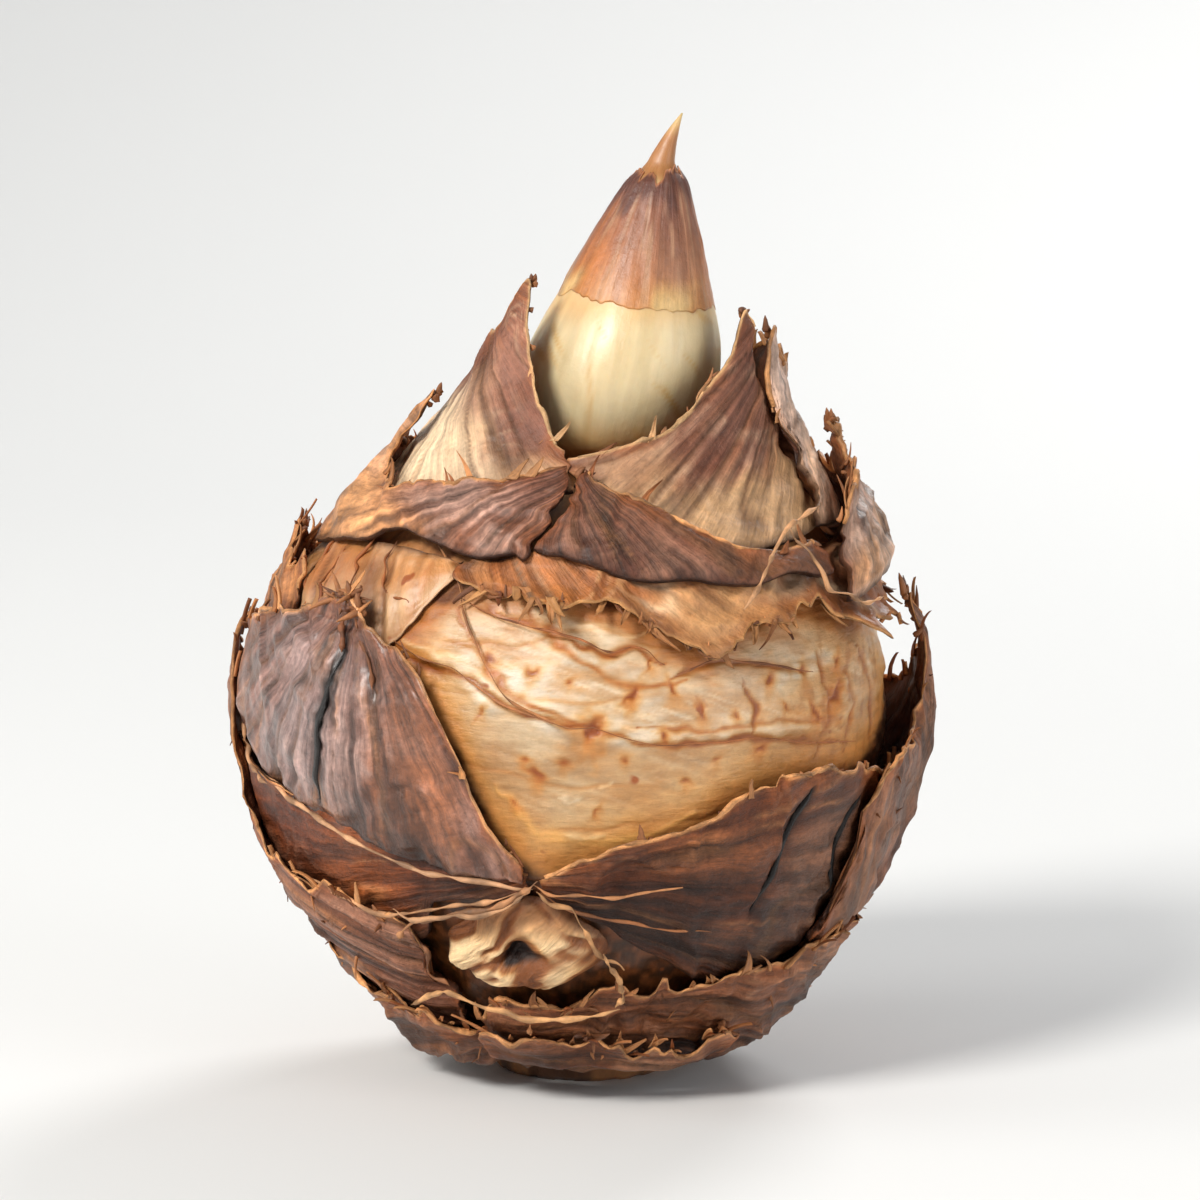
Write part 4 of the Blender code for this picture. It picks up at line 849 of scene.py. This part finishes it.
def scale_surface(spec, d, v, rim_wave, side_room):
    """Heights and places of a scale's outer face for grids of degrees and root-to-rim shares."""
    seed = spec["seed"]
    root_along, root_above = edge_at(spec["root"], d)
    rim_along, rim_above = edge_at(spec["rim"], d)
    if spec["rim_shift"]:
        rim_along = rim_along + line_value(d, spec["rim_shift"])
    if spec["root_shift"]:
        root_along = root_along + line_value(d, spec["root_shift"])
    down = np.sign(np.mean(rim_along - root_along))
    ring = np.radians(d) * skin_radius(root_along)
    root_along = root_along + spec["root_wave"] * (noise(ring / 2.7, seed, 0, 55) - 0.3)
    along = root_along + v * (rim_along + down * rim_wave - root_along)
    length = np.abs(rim_along - root_along) + 0.01
    x = np.radians(d) * skin_radius(along)
    rise = smooth(v / spec["ramp"])
    above = root_above + rise * (rim_above - root_above) + spec["belly"] * 4 * v * (1 - v)
    above = spec["press"] * above
    if spec["settle"]:
        above = above + line_value(d, spec["settle"]) * smooth(v / 0.5)
    from_rim = (1 - v) * length
    lift = spec["curl"] * smooth(1 - from_rim / 2.2) ** 2
    curl = lift * (0.5 + 0.9 * noise(x / 2.2, seed, 0, 40))
    curl = curl + 0.9 * np.maximum(0, rim_wave) * smooth(1 - from_rim / 1.2) * (spec["curl"] > 0.2)
    buckle = 0.13 * rough(x / 3.0, along / 3.6, 0, 41, 3) + 0.05 * rough(x / 1.1, along / 1.3, 0, 38, 2)
    tuck = 0.5 * spec["tuck"] * (1 - smooth(side_room / 2.4)) + 0.45 * spec["tuck"] * (1 - smooth(v / 0.1))
    return along, np.maximum(above + curl + buckle - tuck, -0.1), x, from_rim


def scale_spot(spec, d, v):
    """Mm along and above at one place of a scale."""
    at = np.array([d])
    along, above = scale_surface(spec, at, np.array([v]), *torn_rim(spec, at))[:2]
    return along[0], above[0]


def fibre_lines(spec, x, along):
    """Across and along the fibres, in mm: they spread from a point, run round, or run up."""
    if spec["flow"] == "round":
        return along, x
    if not spec["fan"]:
        return x, along
    at_degrees, at_along = spec["fan"]
    dx = x - math.radians(at_degrees) * skin_radius(at_along)
    dy = along - at_along
    middle = np.arctan2(np.mean(dy), np.mean(dx))
    turn = (np.arctan2(dy, dx) - middle + np.pi) % (2 * np.pi) - np.pi
    return turn * 11, np.hypot(dx, dy)


def zone_weight(zone, d, along, grain):
    """How much of a patch of other colour shows here."""
    at_degrees, at_along, wide, high = zone[:4]
    near = np.exp(-((d - at_degrees) / wide) ** 2 - ((along - at_along) / high) ** 2)
    return smooth(1.4 * near * (1 + 0.4 * grain)) * zone[5]


def add_crack_shadows(batch, spec, d, along, above):
    """Near-black tubes along a scale's cracks: painted shadow deep in the cracks."""
    seed, last = spec["seed"], d.shape[1] - 1
    for line in spec["cracks"]:
        p = smooth_line(line, 16 * len(line))
        column = (p[:, 0] - d[0, 0]) / (d[0, -1] - d[0, 0]) * last
        column = np.clip(np.round(column), 0, last).astype(int)
        row = np.argmin(np.abs(along[:, column] - p[:, 1]), axis=0)
        deep = np.convolve(np.pad(above[row, column], 4, mode="edge"), np.ones(9) / 9, mode="valid") + 0.03
        shift = 0.25 * noise(np.arange(len(p)) / 7, seed, 0, 27)
        t = np.linspace(0, 1, len(p))
        fade = smooth(np.minimum(t, 1 - t) / 0.25)
        size = spec["crack"] * 0.5 * fade * (1 + 0.4 * noise(t * 9, seed, 0, 26)) + 0.02
        add_tube(batch, on_skin(p[:, 0] + shift, p[:, 1], deep), size, (16, 8, 4), outward(*p.T, deep), 6,
                 seed)


def add_cord(batch, spec, d, along, above, outer, inner):
    """The swollen edge of a scale's rim."""
    seed, keep = spec["seed"], slice(2, -2)
    arc = np.radians(d[-1, keep]) * scale_size(spec)[2]
    size = spec["cord"] * (0.8 + 0.8 * rough(arc / 0.9, seed, 0, 51, 3))
    size = size * smooth(1.1 + 1.2 * noise(arc / 3.0, seed, 0, 52))
    tints = colour(spec["rim_tint"])
    tints = blend(tints, tints * 0.55, smooth(0.4 + noise(arc / 0.9, seed, 0, 53)))
    add_tube(batch, outer[-1, keep] * 0.7 + inner[-1, keep] * 0.3, np.maximum(size, 0.03), tints,
             outward(d[-1, keep], along[-1, keep], above[-1, keep]), 6, seed)


def make_scale(name, spec):
    seed = spec["seed"]
    first, last, radius, length, way = scale_size(spec)
    columns = int(math.radians(last - first) * radius / GRID_MM) + 2
    rows = int(length / GRID_MM) + 2
    d, v = np.meshgrid(np.linspace(first, last, columns), np.linspace(0, 1, rows))
    wave, side_room = torn_rim(spec, d)
    along, above, x, from_rim = scale_surface(spec, d, v, wave, side_room)
    across, lengthwise = fibre_lines(spec, x, along)

    grain = rough(across / 0.5, lengthwise / 6, seed, 45, 4)
    furrow = bell(noise(across / 1.9, lengthwise / 10, seed * 1.7, 46) / 0.08) * smooth(v / 0.2)
    vein = bell(noise(across / 1.3, lengthwise / 9, seed * 2.3, 36) / 0.06)
    vein = vein * smooth(0.5 + noise(x / 2, along / 2, seed, 35))
    ridges = 0.055 * grain - 0.1 * furrow + 0.05 * vein
    # cracks marks the crack lines: they are sunk a little, and painted near-black as the shadow in them.
    cracks = np.zeros_like(x)
    for line in spec["cracks"]:
        cracks = np.maximum(cracks, line_mark(x, along, line, spec["crack"]))
    ripple = rough(across / 1.7, lengthwise / 0.75, seed, 32, 3)
    ripple = ripple * smooth(noise(x / 3.3, along / 3.3, seed, 31) + 0.5)
    ridges += spec["ripple"] * ripple
    bend = 0.9 * noise(x / 2.3, along / 2.3, seed, 30)
    # crease marks the crests of the crumples; its only use is to lighten them with the pale tint, as a
    # painted highlight.
    crease = 0.0
    for size, high in ((3.3, 1.0), (1.7, 0.6)):
        bump = np.abs(noise(x / size + bend, along / size - bend, seed * 1.3, 29))
        ridges += spec["crumple"] * size * (0.3 - bump) * 0.62
        crease = np.maximum(crease, high * bell(bump * size / 0.24))
    crease = crease * smooth(0.55 + noise(x / 3.1, along / 3.1, seed, 28)) * smooth(spec["crumple"] * 8)
    above = above + SCALE_LIFT_MM - spec["sink"] * smooth(1 - from_rim / 2.5) + ridges - 0.2 * cracks
    thick = SCALE_MM - (SCALE_MM - RIM_MM) * smooth(1 - from_rim / 1.5)
    turn = 0.6 * rough(along / 1.7, seed, 0, 47, 3) * (1 - smooth(side_room / 1.8))
    turn = turn / radius * DEGREES_A_RADIAN
    outer = on_skin(d + turn, along, above)
    inner = on_skin(d + turn, along, above - thick)

    patch = rough(x / 2.6, along / 2.6, seed, 49, 4)
    fleck = rough(across / 0.9, lengthwise / 2.2, seed, 34, 3)
    body = blend(spec["root_tint"], spec["tip_tint"], smooth((v + 0.14 * patch - spec["grade"]) / 0.36 + 0.5))
    shading = 1 + spec["streaks"] * (0.9 * grain + 0.5 * fleck + 0.3 * patch)
    body = body * np.clip(shading, 0.2, 2.6)[..., None]
    body = blend(body, spec["pale"], spec["bloom"] * smooth((patch + 0.5 * grain - 0.1) / 0.7))
    streaky = np.clip((1 + spec["streaks"] * (0.8 * grain + 0.4 * fleck))[..., None], 0.3, 2.2)
    for zone in spec["zones"]:
        body = blend(body, colour(zone[4]) * streaky, zone_weight(zone, d, along, grain))
    edge = np.exp(-from_rim / 0.7) * smooth(0.65 + 0.6 * noise(x / 1.3, seed, 0, 50))
    rim = smooth(1.2 - from_rim / 0.2) * smooth(0.9 + noise(x / 1.7, seed, 0, 33))
    for mark, amount in ((spec["vein_tint"], spec["veins"] * vein),
                         # Pale on the crumple crests: a painted highlight.
                         (spec["pale"], 0.6 * crease * smooth(0.7 + grain)),
                         (colour(spec["vein_tint"]) * 0.25, 0.7 * furrow),
                         (spec["edge_tint"], 0.85 * edge), (spec["rim_tint"], rim),
                         (spec["edge_tint"], 0.7 * np.exp(-side_room / 0.4)),
                         ((58, 28, 12), 0.75 * (1 - smooth(v / 0.07))),
                         # Near-black on the cracks: painted shadow.
                         ((22, 10, 5), np.clip(1.15 * cracks, 0, 1))):
        body = blend(body, mark, amount)
    under = blend((132, 78, 44), (86, 48, 30), smooth(0.5 + patch))
    fibre = stack(across, lengthwise * 0.1, seed)
    batch = Batch()
    batch.add(np.concatenate([outer, inner]), sheet_faces(rows, columns, bool(way < 0)),
              np.concatenate([body, under]), np.concatenate([fibre, fibre + 50]))
    add_crack_shadows(batch, spec, d, along, above)
    if spec["cord"] > 0:
        add_cord(batch, spec, d, along, above, outer, inner)
    return batch.build(name + "_skin", spec["material"], spec["slot"], [name])


# Side bud.

BUD_DEGREES, BUD_ALONG = -13, 12.0
BUD_HALF_DEGREES = math.degrees(4.5 / 15.2)
BUD_HALF_HEIGHT = 2.6
# Height of the cushion in mm at shares of the way out.
BUD_FORM = [(0.0, 1.3), (0.3, 1.3), (0.6, 1.15), (0.84, 0.75), (1.0, 0.05)]


def make_side_bud():
    """A flat oval cushion, draped in folds round a pit, its top drawn up into a withered hood; its colour has
    painted highlights on the folds and painted shade in the valleys and the pit.
    """
    sides, rows = 220, 76
    a, share = np.meshgrid(2 * np.pi * np.arange(sides) / sides, np.linspace(1.0, 0.02, rows))
    ca, sa = np.cos(a), np.sin(a)
    outline = (1 + 0.06 * noise(1.6 * ca, 1.6 * sa, 0, 60) + 0.025 * noise(5 * ca, 5 * sa, 0, 59)
               + 0.3 * np.maximum(0, np.cos(a - 1.45)) ** 8 - 0.1 * np.maximum(0, np.cos(a - 2.5)) ** 4)
    x, y = share * ca, share * sa
    form = smooth_line(BUD_FORM, 80)
    height = np.interp(share, form[:, 0], form[:, 1])
    bend = 0.35 * rough(1.3 * x, 1.3 * y, 0, 58, 3)
    over, down = 0.82 * x - 0.56 * y, 0.56 * x + 0.82 * y
    drape = (rough(3.9 * over + 1.4 * bend, 0.9 * down, 0, 61, 2)
             + 0.3 * rough(10 * over + 3 * bend, 1.8 * down, 0, 63, 3))
    fan = rough(3.6 * np.arctan2(y - 1.0, x - 0.1) + bend, 0.8 * np.hypot(x, y - 1.0), 0, 62, 3)
    left = smooth(0.62 - 1.3 * (x + 0.15 * y))
    fold = left * 1.5 * drape + (1 - left) * (0.35 * fan + 0.6 * drape) + 0.3 * bend
    pit = ((x - 0.05 + 0.3 * bend) / 0.19) ** 2 + ((y - 0.05 - 0.3 * bend) / 0.27) ** 2
    pit = np.exp(-pit * (1 + 0.6 * noise(4 * x, 4 * y, 4, 57)))
    lip = bell((np.hypot((x - 0.06) / 0.32, (y - 0.04) / 0.46) - 1) / 0.3)
    height = height * (1 - 0.22 * sa) + (0.3 * fold + 0.16 * lip) * smooth((1 - share) / 0.12) - 0.95 * pit
    across = BUD_HALF_DEGREES * 1.12 * outline * x
    along = BUD_ALONG + BUD_HALF_HEIGHT * outline * y
    points = on_skin(BUD_DEGREES + across, along, np.maximum(height, -0.1))
    # Beige-tan, paler on the fold crests and browner in the valleys: painted highlights and painted shade
    # that follow the folds.
    tint = blend((158, 98, 50), (244, 206, 156), smooth(0.56 + 1.5 * fold + 0.2 * bend))
    tint = stain(tint, (150, 92, 50), 0.7 * smooth((y - 0.35) / 0.5) * smooth(0.8 + fold))
    # Orange-brown towards the lower right: painted shade on the underside of the cushion.
    tint = stain(tint, (186, 120, 60), 0.7 * smooth((x - 0.45) / 0.4) * smooth((0.3 - y) / 0.8))
    tint = blend(tint, (104, 58, 30), 0.85 * smooth((share - 0.84) / 0.14))
    # Browner in the fold valleys: painted shade.
    tint = stain(tint, (112, 60, 24), 0.7 * smooth(-1.9 * fold - 0.3))
    # Brown round the pit and near-black inside it: painted shade in the pit.
    tint = stain(tint, (132, 74, 32), 0.8 * smooth((pit - 0.03) / 0.25))
    tint = blend(tint, (34, 16, 8), smooth((pit - 0.28) / 0.35))
    batch = Batch()
    add_round(batch, points, tint, stack(8 * over + 2 * bend, 1.3 * down, share * 0.4))
    return batch.build("side_bud_skin", BUD, "side_bud", ["side_bud"])


# Strands and bristles.

# Old scars and torn fibres lying on the corm: mm above the skin, thickness, tint, then the places.
STRANDS = [
    (1.7, 0.14, (200, 148, 106), [(-93, 22.4), (-86, 21.4), (-78, 20.5), (-71, 20.0)]),
    (1.15, 0.15, (206, 154, 112), [(-78, 20.4), (-68, 19.7), (-58, 19.1), (-47, 18.4), (-36, 17.5),
     (-26, 17.0), (-16, 16.7), (-8, 16.5)]),
    (1.55, 0.24, (128, 76, 44), [(-47.5, 30.6), (-46, 29.4), (-45, 28.4), (-44, 27.5)]),
    (1.3, 0.16, (150, 92, 54), [(-44, 29.8), (-41.5, 28.6), (-39, 27.6), (-36, 26.0)]),
    (0.0, 0.075, (188, 124, 74), [(-41, 34.9), (-29, 32.3), (-21, 29.0), (-14, 26.5), (-5, 25.0),
     (2, 24.5)]),
    (0.0, 0.06, (170, 102, 56), [(2, 24.5), (11, 23.8), (22, 23.5), (34, 23.6), (44, 23.1), (59, 22.6)]),
    (0.0, 0.06, (166, 100, 56), [(-25, 31.2), (-16, 30.2), (-9, 29.8), (-2, 29.2), (5, 28.4), (10, 28.6),
     (16, 27.9)]),
    (0.05, 0.07, (176, 112, 66), [(-45, 29.2), (-38, 28.4), (-30, 27.7), (-21, 27.1), (-13, 25.9),
     (-4, 25.0)]),
    (0.0, 0.07, (150, 88, 46), [(17, 27.1), (24, 27.7), (35, 27.5), (47, 26.8)]),
    (1.0, 0.15, (206, 150, 98), [(-8, 16.2), (-3, 15.3), (1, 14.0), (4, 12.5), (9, 11.4)]),
    (1.3, 0.17, (214, 158, 104), [(4, 12.6), (7, 11.2), (9, 9.9), (8, 9.0)]),
    (1.6, 0.19, (214, 158, 104), [(-46, 8.2), (-36, 9.4), (-30, 9.8), (-22, 9.0), (-12, 8.5), (-2, 8.6),
     (9, 9.4)]),
    (1.4, 0.14, (186, 124, 76), [(-14, 8.6), (-12, 7.8), (-13, 6.9)]),
    (1.2, 0.16, (206, 150, 104), [(-66, 15.2), (-55, 14.7), (-43, 13.9), (-36, 14.2), (-27, 14.9),
     (-16, 15.7), (-9, 16.6)]),
    (1.3, 0.2, (176, 122, 80), [(-40, 12.6), (-36, 13.6), (-28, 14.5), (-19, 15.0), (-12, 15.9),
     (-8, 16.8)]),
    (1.5, 0.15, (196, 146, 104), [(-38, 14.6), (-31, 14.3), (-23, 14.8), (-15, 15.2), (-10, 16.2)]),
    (1.1, 0.13, (150, 96, 58), [(-37, 13.4), (-34, 12.0), (-35, 10.6), (-31, 9.8)]),
    (0.9, 0.12, (184, 124, 78), [(-9, 16.4), (-1, 16.0), (8, 15.9), (18, 16.2)]),
    (0.8, 0.1, (160, 100, 58), [(-8, 16.0), (2, 14.9), (14, 14.0), (26, 13.4)]),
    (2.3, 0.14, (204, 150, 104), [(52, 34.6), (46, 34.2), (41, 33.6), (35, 32.0), (31, 30.6),
     (28, 29.6)]),
    (2.4, 0.13, (204, 150, 104), [(41, 33.6), (44, 31.8), (48, 30.2), (56, 29.4), (62, 29.3)]),
    (0.45, 0.11, (158, 92, 46), [(-58, 33.6), (-57, 32.0), (-52, 30.6), (-48, 29.6), (-45, 28.4)]),
    (0.48, 0.1, (166, 98, 50), [(-77, 33.2), (-75, 31.4), (-70, 29.8), (-66, 28.6)]),
    (0.48, 0.09, (156, 90, 44), [(-49, 33.6), (-47, 32.2), (-41, 31.0), (-36, 30.4)]),
    (0.48, 0.09, (166, 100, 52), [(-66, 33.0), (-65, 31.2), (-61, 30.0)]),
]
# Where bristles grow: scale, how many, length in mm, and the shares of the way from root to rim.
BRISTLES = [
    ("base_scale_left", 14, 1.0, 0.35, 0.9), ("base_scale_right", 12, 0.9, 0.35, 0.9),
    ("base_scale_back", 20, 1.0, 0.3, 0.9), ("outer_scale_left", 26, 1.1, 0.5, 1.0),
    ("outer_scale_right", 30, 1.1, 0.5, 1.0), ("side_scale_left", 12, 0.8, 0.96, 1.0),
    ("side_scale_right", 8, 0.6, 0.97, 1.0), ("neck_scale_left", 10, 0.8, 0.92, 1.0),
    ("neck_scale_side", 14, 0.9, 0.9, 1.0), ("collar_scale_side", 10, 0.8, 0.92, 1.0),
    ("collar_scale_left", 5, 0.6, 0.98, 1.0), ("collar_scale_right", 5, 0.5, 0.98, 1.0),
    ("skirt_scale_right", 26, 0.9, 0.97, 1.0), ("skirt_scale_back", 26, 0.9, 0.95, 1.0),
    ("shoulder_scale_left", 14, 0.9, 0.9, 1.0), ("neck_scale_back", 18, 0.9, 0.92, 1.0),
    ("back_scale", 10, 0.9, 0.95, 1.0), ("collar_scale_back", 8, 0.8, 0.96, 1.0),
    ("foot_scale_front", 8, 0.7, 0.5, 0.9),
]
# Tufts of bristles on the rims: scale, degrees, how many, length in mm.
TUFTS = [
    ("side_scale_left", -48, 18, 1.4), ("side_scale_left", -43, 10, 1.2),
    ("collar_scale_left", -58, 4, 0.45), ("collar_scale_right", 59, 5, 0.5),
    ("neck_scale_left", -83, 8, 0.8), ("neck_scale_left", -98, 8, 0.9), ("collar_scale_side", 72, 5, 0.5),
    ("neck_scale_side", 88, 9, 0.9), ("skirt_scale_right", 90, 7, 0.8), ("outer_scale_right", 90, 9, 0.9),
    ("shoulder_scale_left", -90, 8, 0.9), ("outer_scale_left", 264, 8, 0.8),
    ("base_scale_left", -88, 9, 0.9), ("base_scale_right", 84, 9, 0.9), ("foot_scale_front", 40, 6, 0.8),
    ("foot_scale_front", 2, 7, 0.9), ("neck_scale_right", -6, 6, 0.7), ("neck_scale_right", 50, 7, 0.8),
    ("neck_scale_back", 168, 8, 0.9), ("neck_scale_back", 196, 9, 0.9),
    ("collar_scale_back", 178, 7, 0.8), ("outer_scale_left", 224, 8, 0.9),
    ("base_scale_back", 126, 8, 0.9),
]
# How much a bristle leans out, from least to most.
BRISTLE_LEAN, TUFT_LEAN = (0.3, 1.0), (0.1, 0.8)
SHRED_SEED, BRISTLE_SEED = 21, 8


def make_strands():
    batch = Batch()
    for n, (above, thick, tint, places) in enumerate(STRANDS):
        d, along = smooth_line(places, 26 * len(places)).T
        t = np.linspace(0, 1, len(d))
        run = t * len(places)
        wander = 0.35 * noise(run * 1.3, n * 5.0, 0, 70)
        lift = above + 0.08 + 0.12 * noise(run * 2.0, n * 5.0, 3, 71)
        path = on_skin(d + wander * 2, along + wander * 0.5, lift)
        swell = thick * (0.7 + 0.5 * noise(run * 3, n, 0, 72))
        swell = swell * (0.25 + 0.75 * smooth(np.minimum(t, 1 - t) / 0.12))
        shade = blend(tint, colour(tint) * 0.5, smooth(0.4 + noise(run * 2.4, n, 0, 73)))
        add_tube(batch, path, np.maximum(swell, 0.02), shade, outward(d, along, lift), 7, n * 3.0)
    return batch.build("torn_strands", STRAND, "tan_scale")


def add_shred(batch, spec, draw):
    """A torn ribbon of dry skin that stands out of a scale's rim and curls."""
    first, last, _, _, up = scale_size(spec)
    d = draw.uniform(first + 1.5, last - 1.5)
    along, above = scale_spot(spec, d, 1.0)
    length, width = draw.uniform(0.5, 1.7), draw.uniform(0.18, 0.5)
    steps, ways = 9, 4
    t, w = np.meshgrid(np.linspace(0, 1, steps), np.linspace(-1, 1, ways), indexing="ij")
    slant, roll = draw.normal(0, 0.55), draw.uniform(0.2, 1.3)
    half = width / 2 * (1 - t ** 1.6) * (1 + 0.35 * noise(t * 6, w, draw.uniform(0, 90), 74)) + 0.015
    run = length * np.sin(roll * t) / roll
    out = length * (1 - np.cos(roll * t)) / roll * draw.choice((1.0, 1.0, -0.12))
    sideways = w * half + slant * run + draw.normal(0, 0.25) * t ** 2 * length
    place_d = d + np.degrees(sideways / skin_radius(along))
    place_a = along + up * (run - 0.25)
    lift = above + 0.3 - spec["sink"] + out + 0.12 * w * w * draw.uniform(0, 1.5)
    rings = np.concatenate([on_skin(place_d, place_a, lift),
                            on_skin(place_d, place_a, lift - 0.09)[:, ::-1]], axis=1)
    shade = blend(spec["edge_tint"], spec["rim_tint"], draw.uniform(0, 1)) * draw.uniform(0.55, 1.1)
    fibre = stack(np.arange(2 * ways) * 0.3, t[:, :1] * 0.3, draw.uniform(0, 50))
    add_round(batch, rings[:, ::-1] if up < 0 else rings, shade, fibre)


def make_shreds():
    draw = np.random.default_rng(SHRED_SEED)
    for slot in ("brown_scale", "tan_scale"):
        batch = Batch()
        for spec in SCALES.values():
            if spec["slot"] == slot:
                for _ in range(spec["shreds"]):
                    add_shred(batch, spec, draw)
        batch.build(slot + "_shreds", STRAND, slot)


def grow_bristle(batch, draw, foot, out, upward, length, lean):
    tuft = lean == TUFT_LEAN
    sideways = np.cross(out, upward)
    away = (out * draw.uniform(*lean) + upward * draw.uniform(-0.3, 1.0)
            + sideways * draw.normal(0, 1.1 if tuft else 0.6))
    away /= np.linalg.norm(away)
    bend = (sideways * draw.normal(0, 0.5) + upward * draw.normal(0.0, 0.5)) * MM
    size = length * draw.uniform(0.45, 1.15)
    t = np.linspace(0, 1, 6)[:, None]
    path = foot - out * 0.25 * MM + away * t * size * MM + bend * t ** 2 * size
    radii = draw.uniform(0.08, 0.17) * (1.5 if tuft else 1.0) * (1 - t[:, 0]) ** (0.5 if tuft else 0.8) + 0.02
    tint = blend((82, 44, 24), (190, 124, 74), draw.uniform(0, 0.7 if tuft else 1.0))
    add_tube(batch, path, radii, tint, np.broadcast_to(out + 0.01, path.shape), 5, draw.uniform(0, 90))


def make_bristles():
    draw = np.random.default_rng(BRISTLE_SEED)
    batch = Batch()
    grown = [(name, draw.normal(d, 1.2), 1.0, length, TUFT_LEAN)
             for name, d, count, length in TUFTS for _ in range(count)]
    for name, count, length, low, high in BRISTLES:
        first, last = scale_size(SCALES[name])[:2]
        grown += [(name, draw.uniform(first + 2, last - 2), draw.uniform(low, high), length, BRISTLE_LEAN)
                  for _ in range(count)]
    for name, d, v, length, lean in grown:
        along, above = scale_spot(SCALES[name], d, v)
        alongs, aboves = along + np.array([0, 0, 1]), above + 0.25 + np.array([0, 1, 0])
        foot, high, up = on_skin(np.full(3, d), alongs, aboves)
        upward = (up - foot) / np.linalg.norm(up - foot)
        grow_bristle(batch, draw, foot, (high - foot) / MM, upward, length, lean)
    return batch.build("bristles", STRAND, "brown_scale")


# Floor, light and camera, in metres.

# Lights: name, place, width, power, tint.
LIGHTS = [
    ("key", (-0.28, -0.34, 0.36), 0.17, 2.75, (1.0, 0.98, 0.94)),
    ("fill", (0.42, -0.3, 0.16), 0.3, 0.75, (0.95, 0.97, 1.0)),
    ("rim", (0.2, 0.4, 0.35), 0.2, 1.4, (1.0, 1.0, 1.0)),
    ("side", (-0.42, -0.04, 0.22), 0.22, 0.5, (1.0, 0.99, 0.96)),
]
LIGHT_TARGET, CAMERA_TARGET = Vector((0, 0, 0.025)), Vector((0.001, 0.0, 0.0255))
CAMERA_DISTANCE, CAMERA_ELEVATION, CAMERA_LENS = 0.27, math.radians(8.0), 150.0
FLOOR_START, FLOOR_FLAT, FLOOR_BEND, FLOOR_TOP, FLOOR_HALF = -1.2, 0.25, 0.5, 1.8, 2.0


def make_floor():
    """A floor that curves up into a plain backdrop."""
    profile = [(FLOOR_START, 0.0), (FLOOR_FLAT, 0.0)]
    profile += [(FLOOR_FLAT + FLOOR_BEND * math.sin(t), FLOOR_BEND - FLOOR_BEND * math.cos(t))
                for t in np.linspace(0.05, math.pi / 2, 24)]
    profile.append((FLOOR_FLAT + FLOOR_BEND, FLOOR_TOP))
    points = [(x, y, z) for y, z in profile for x in (-FLOOR_HALF, FLOOR_HALF)]
    faces = [(2 * n, 2 * n + 1, 2 * n + 3, 2 * n + 2) for n in range(len(profile) - 1)]
    mesh = bpy.data.meshes.new("floor")
    mesh.from_pydata(points, [], faces)
    mesh.shade_smooth()
    floor = in_scene("floor", mesh)
    material = bpy.data.materials.new("pale_floor")
    material.use_nodes = True
    shader = material.node_tree.nodes["Principled BSDF"]
    shader.inputs["Base Color"].default_value = (0.8, 0.8, 0.79, 1.0)
    shader.inputs["Roughness"].default_value = 0.8
    mesh.materials.append(material)


def aim(obj, target):
    obj.rotation_euler = (target - obj.location).to_track_quat("-Z", "Y").to_euler()


def make_studio():
    scene = bpy.context.scene
    world = bpy.data.worlds.new("studio")
    world.use_nodes = True
    back = world.node_tree.nodes["Background"]
    back.inputs["Color"].default_value = (0.95, 0.97, 1.0, 1.0)
    back.inputs["Strength"].default_value = 0.28
    scene.world = world
    scene.view_settings.view_transform = "Standard"
    for name, place, width, power, tint in LIGHTS:
        light = bpy.data.lights.new(name, "AREA")
        light.shape = "DISK"
        light.size = width
        light.energy = power
        light.color = tint
        lamp = in_scene(name, light)
        lamp.location = place
        aim(lamp, LIGHT_TARGET)
    camera = in_scene("camera", bpy.data.cameras.new("camera"))
    camera.data.lens = CAMERA_LENS
    camera.data.sensor_width = 36.0
    camera.data.clip_start = 0.01
    way = Vector((0, -math.cos(CAMERA_ELEVATION), math.sin(CAMERA_ELEVATION)))
    camera.location = CAMERA_TARGET + way * CAMERA_DISTANCE
    aim(camera, CAMERA_TARGET)
    scene.camera = camera


def main():
    make_flesh()
    make_shoot()
    make_sheath()
    make_side_bud()
    for name, spec in SCALES.items():
        make_scale(name, spec)
    make_strands()
    make_shreds()
    make_bristles()
    make_floor()
    make_studio()


main()
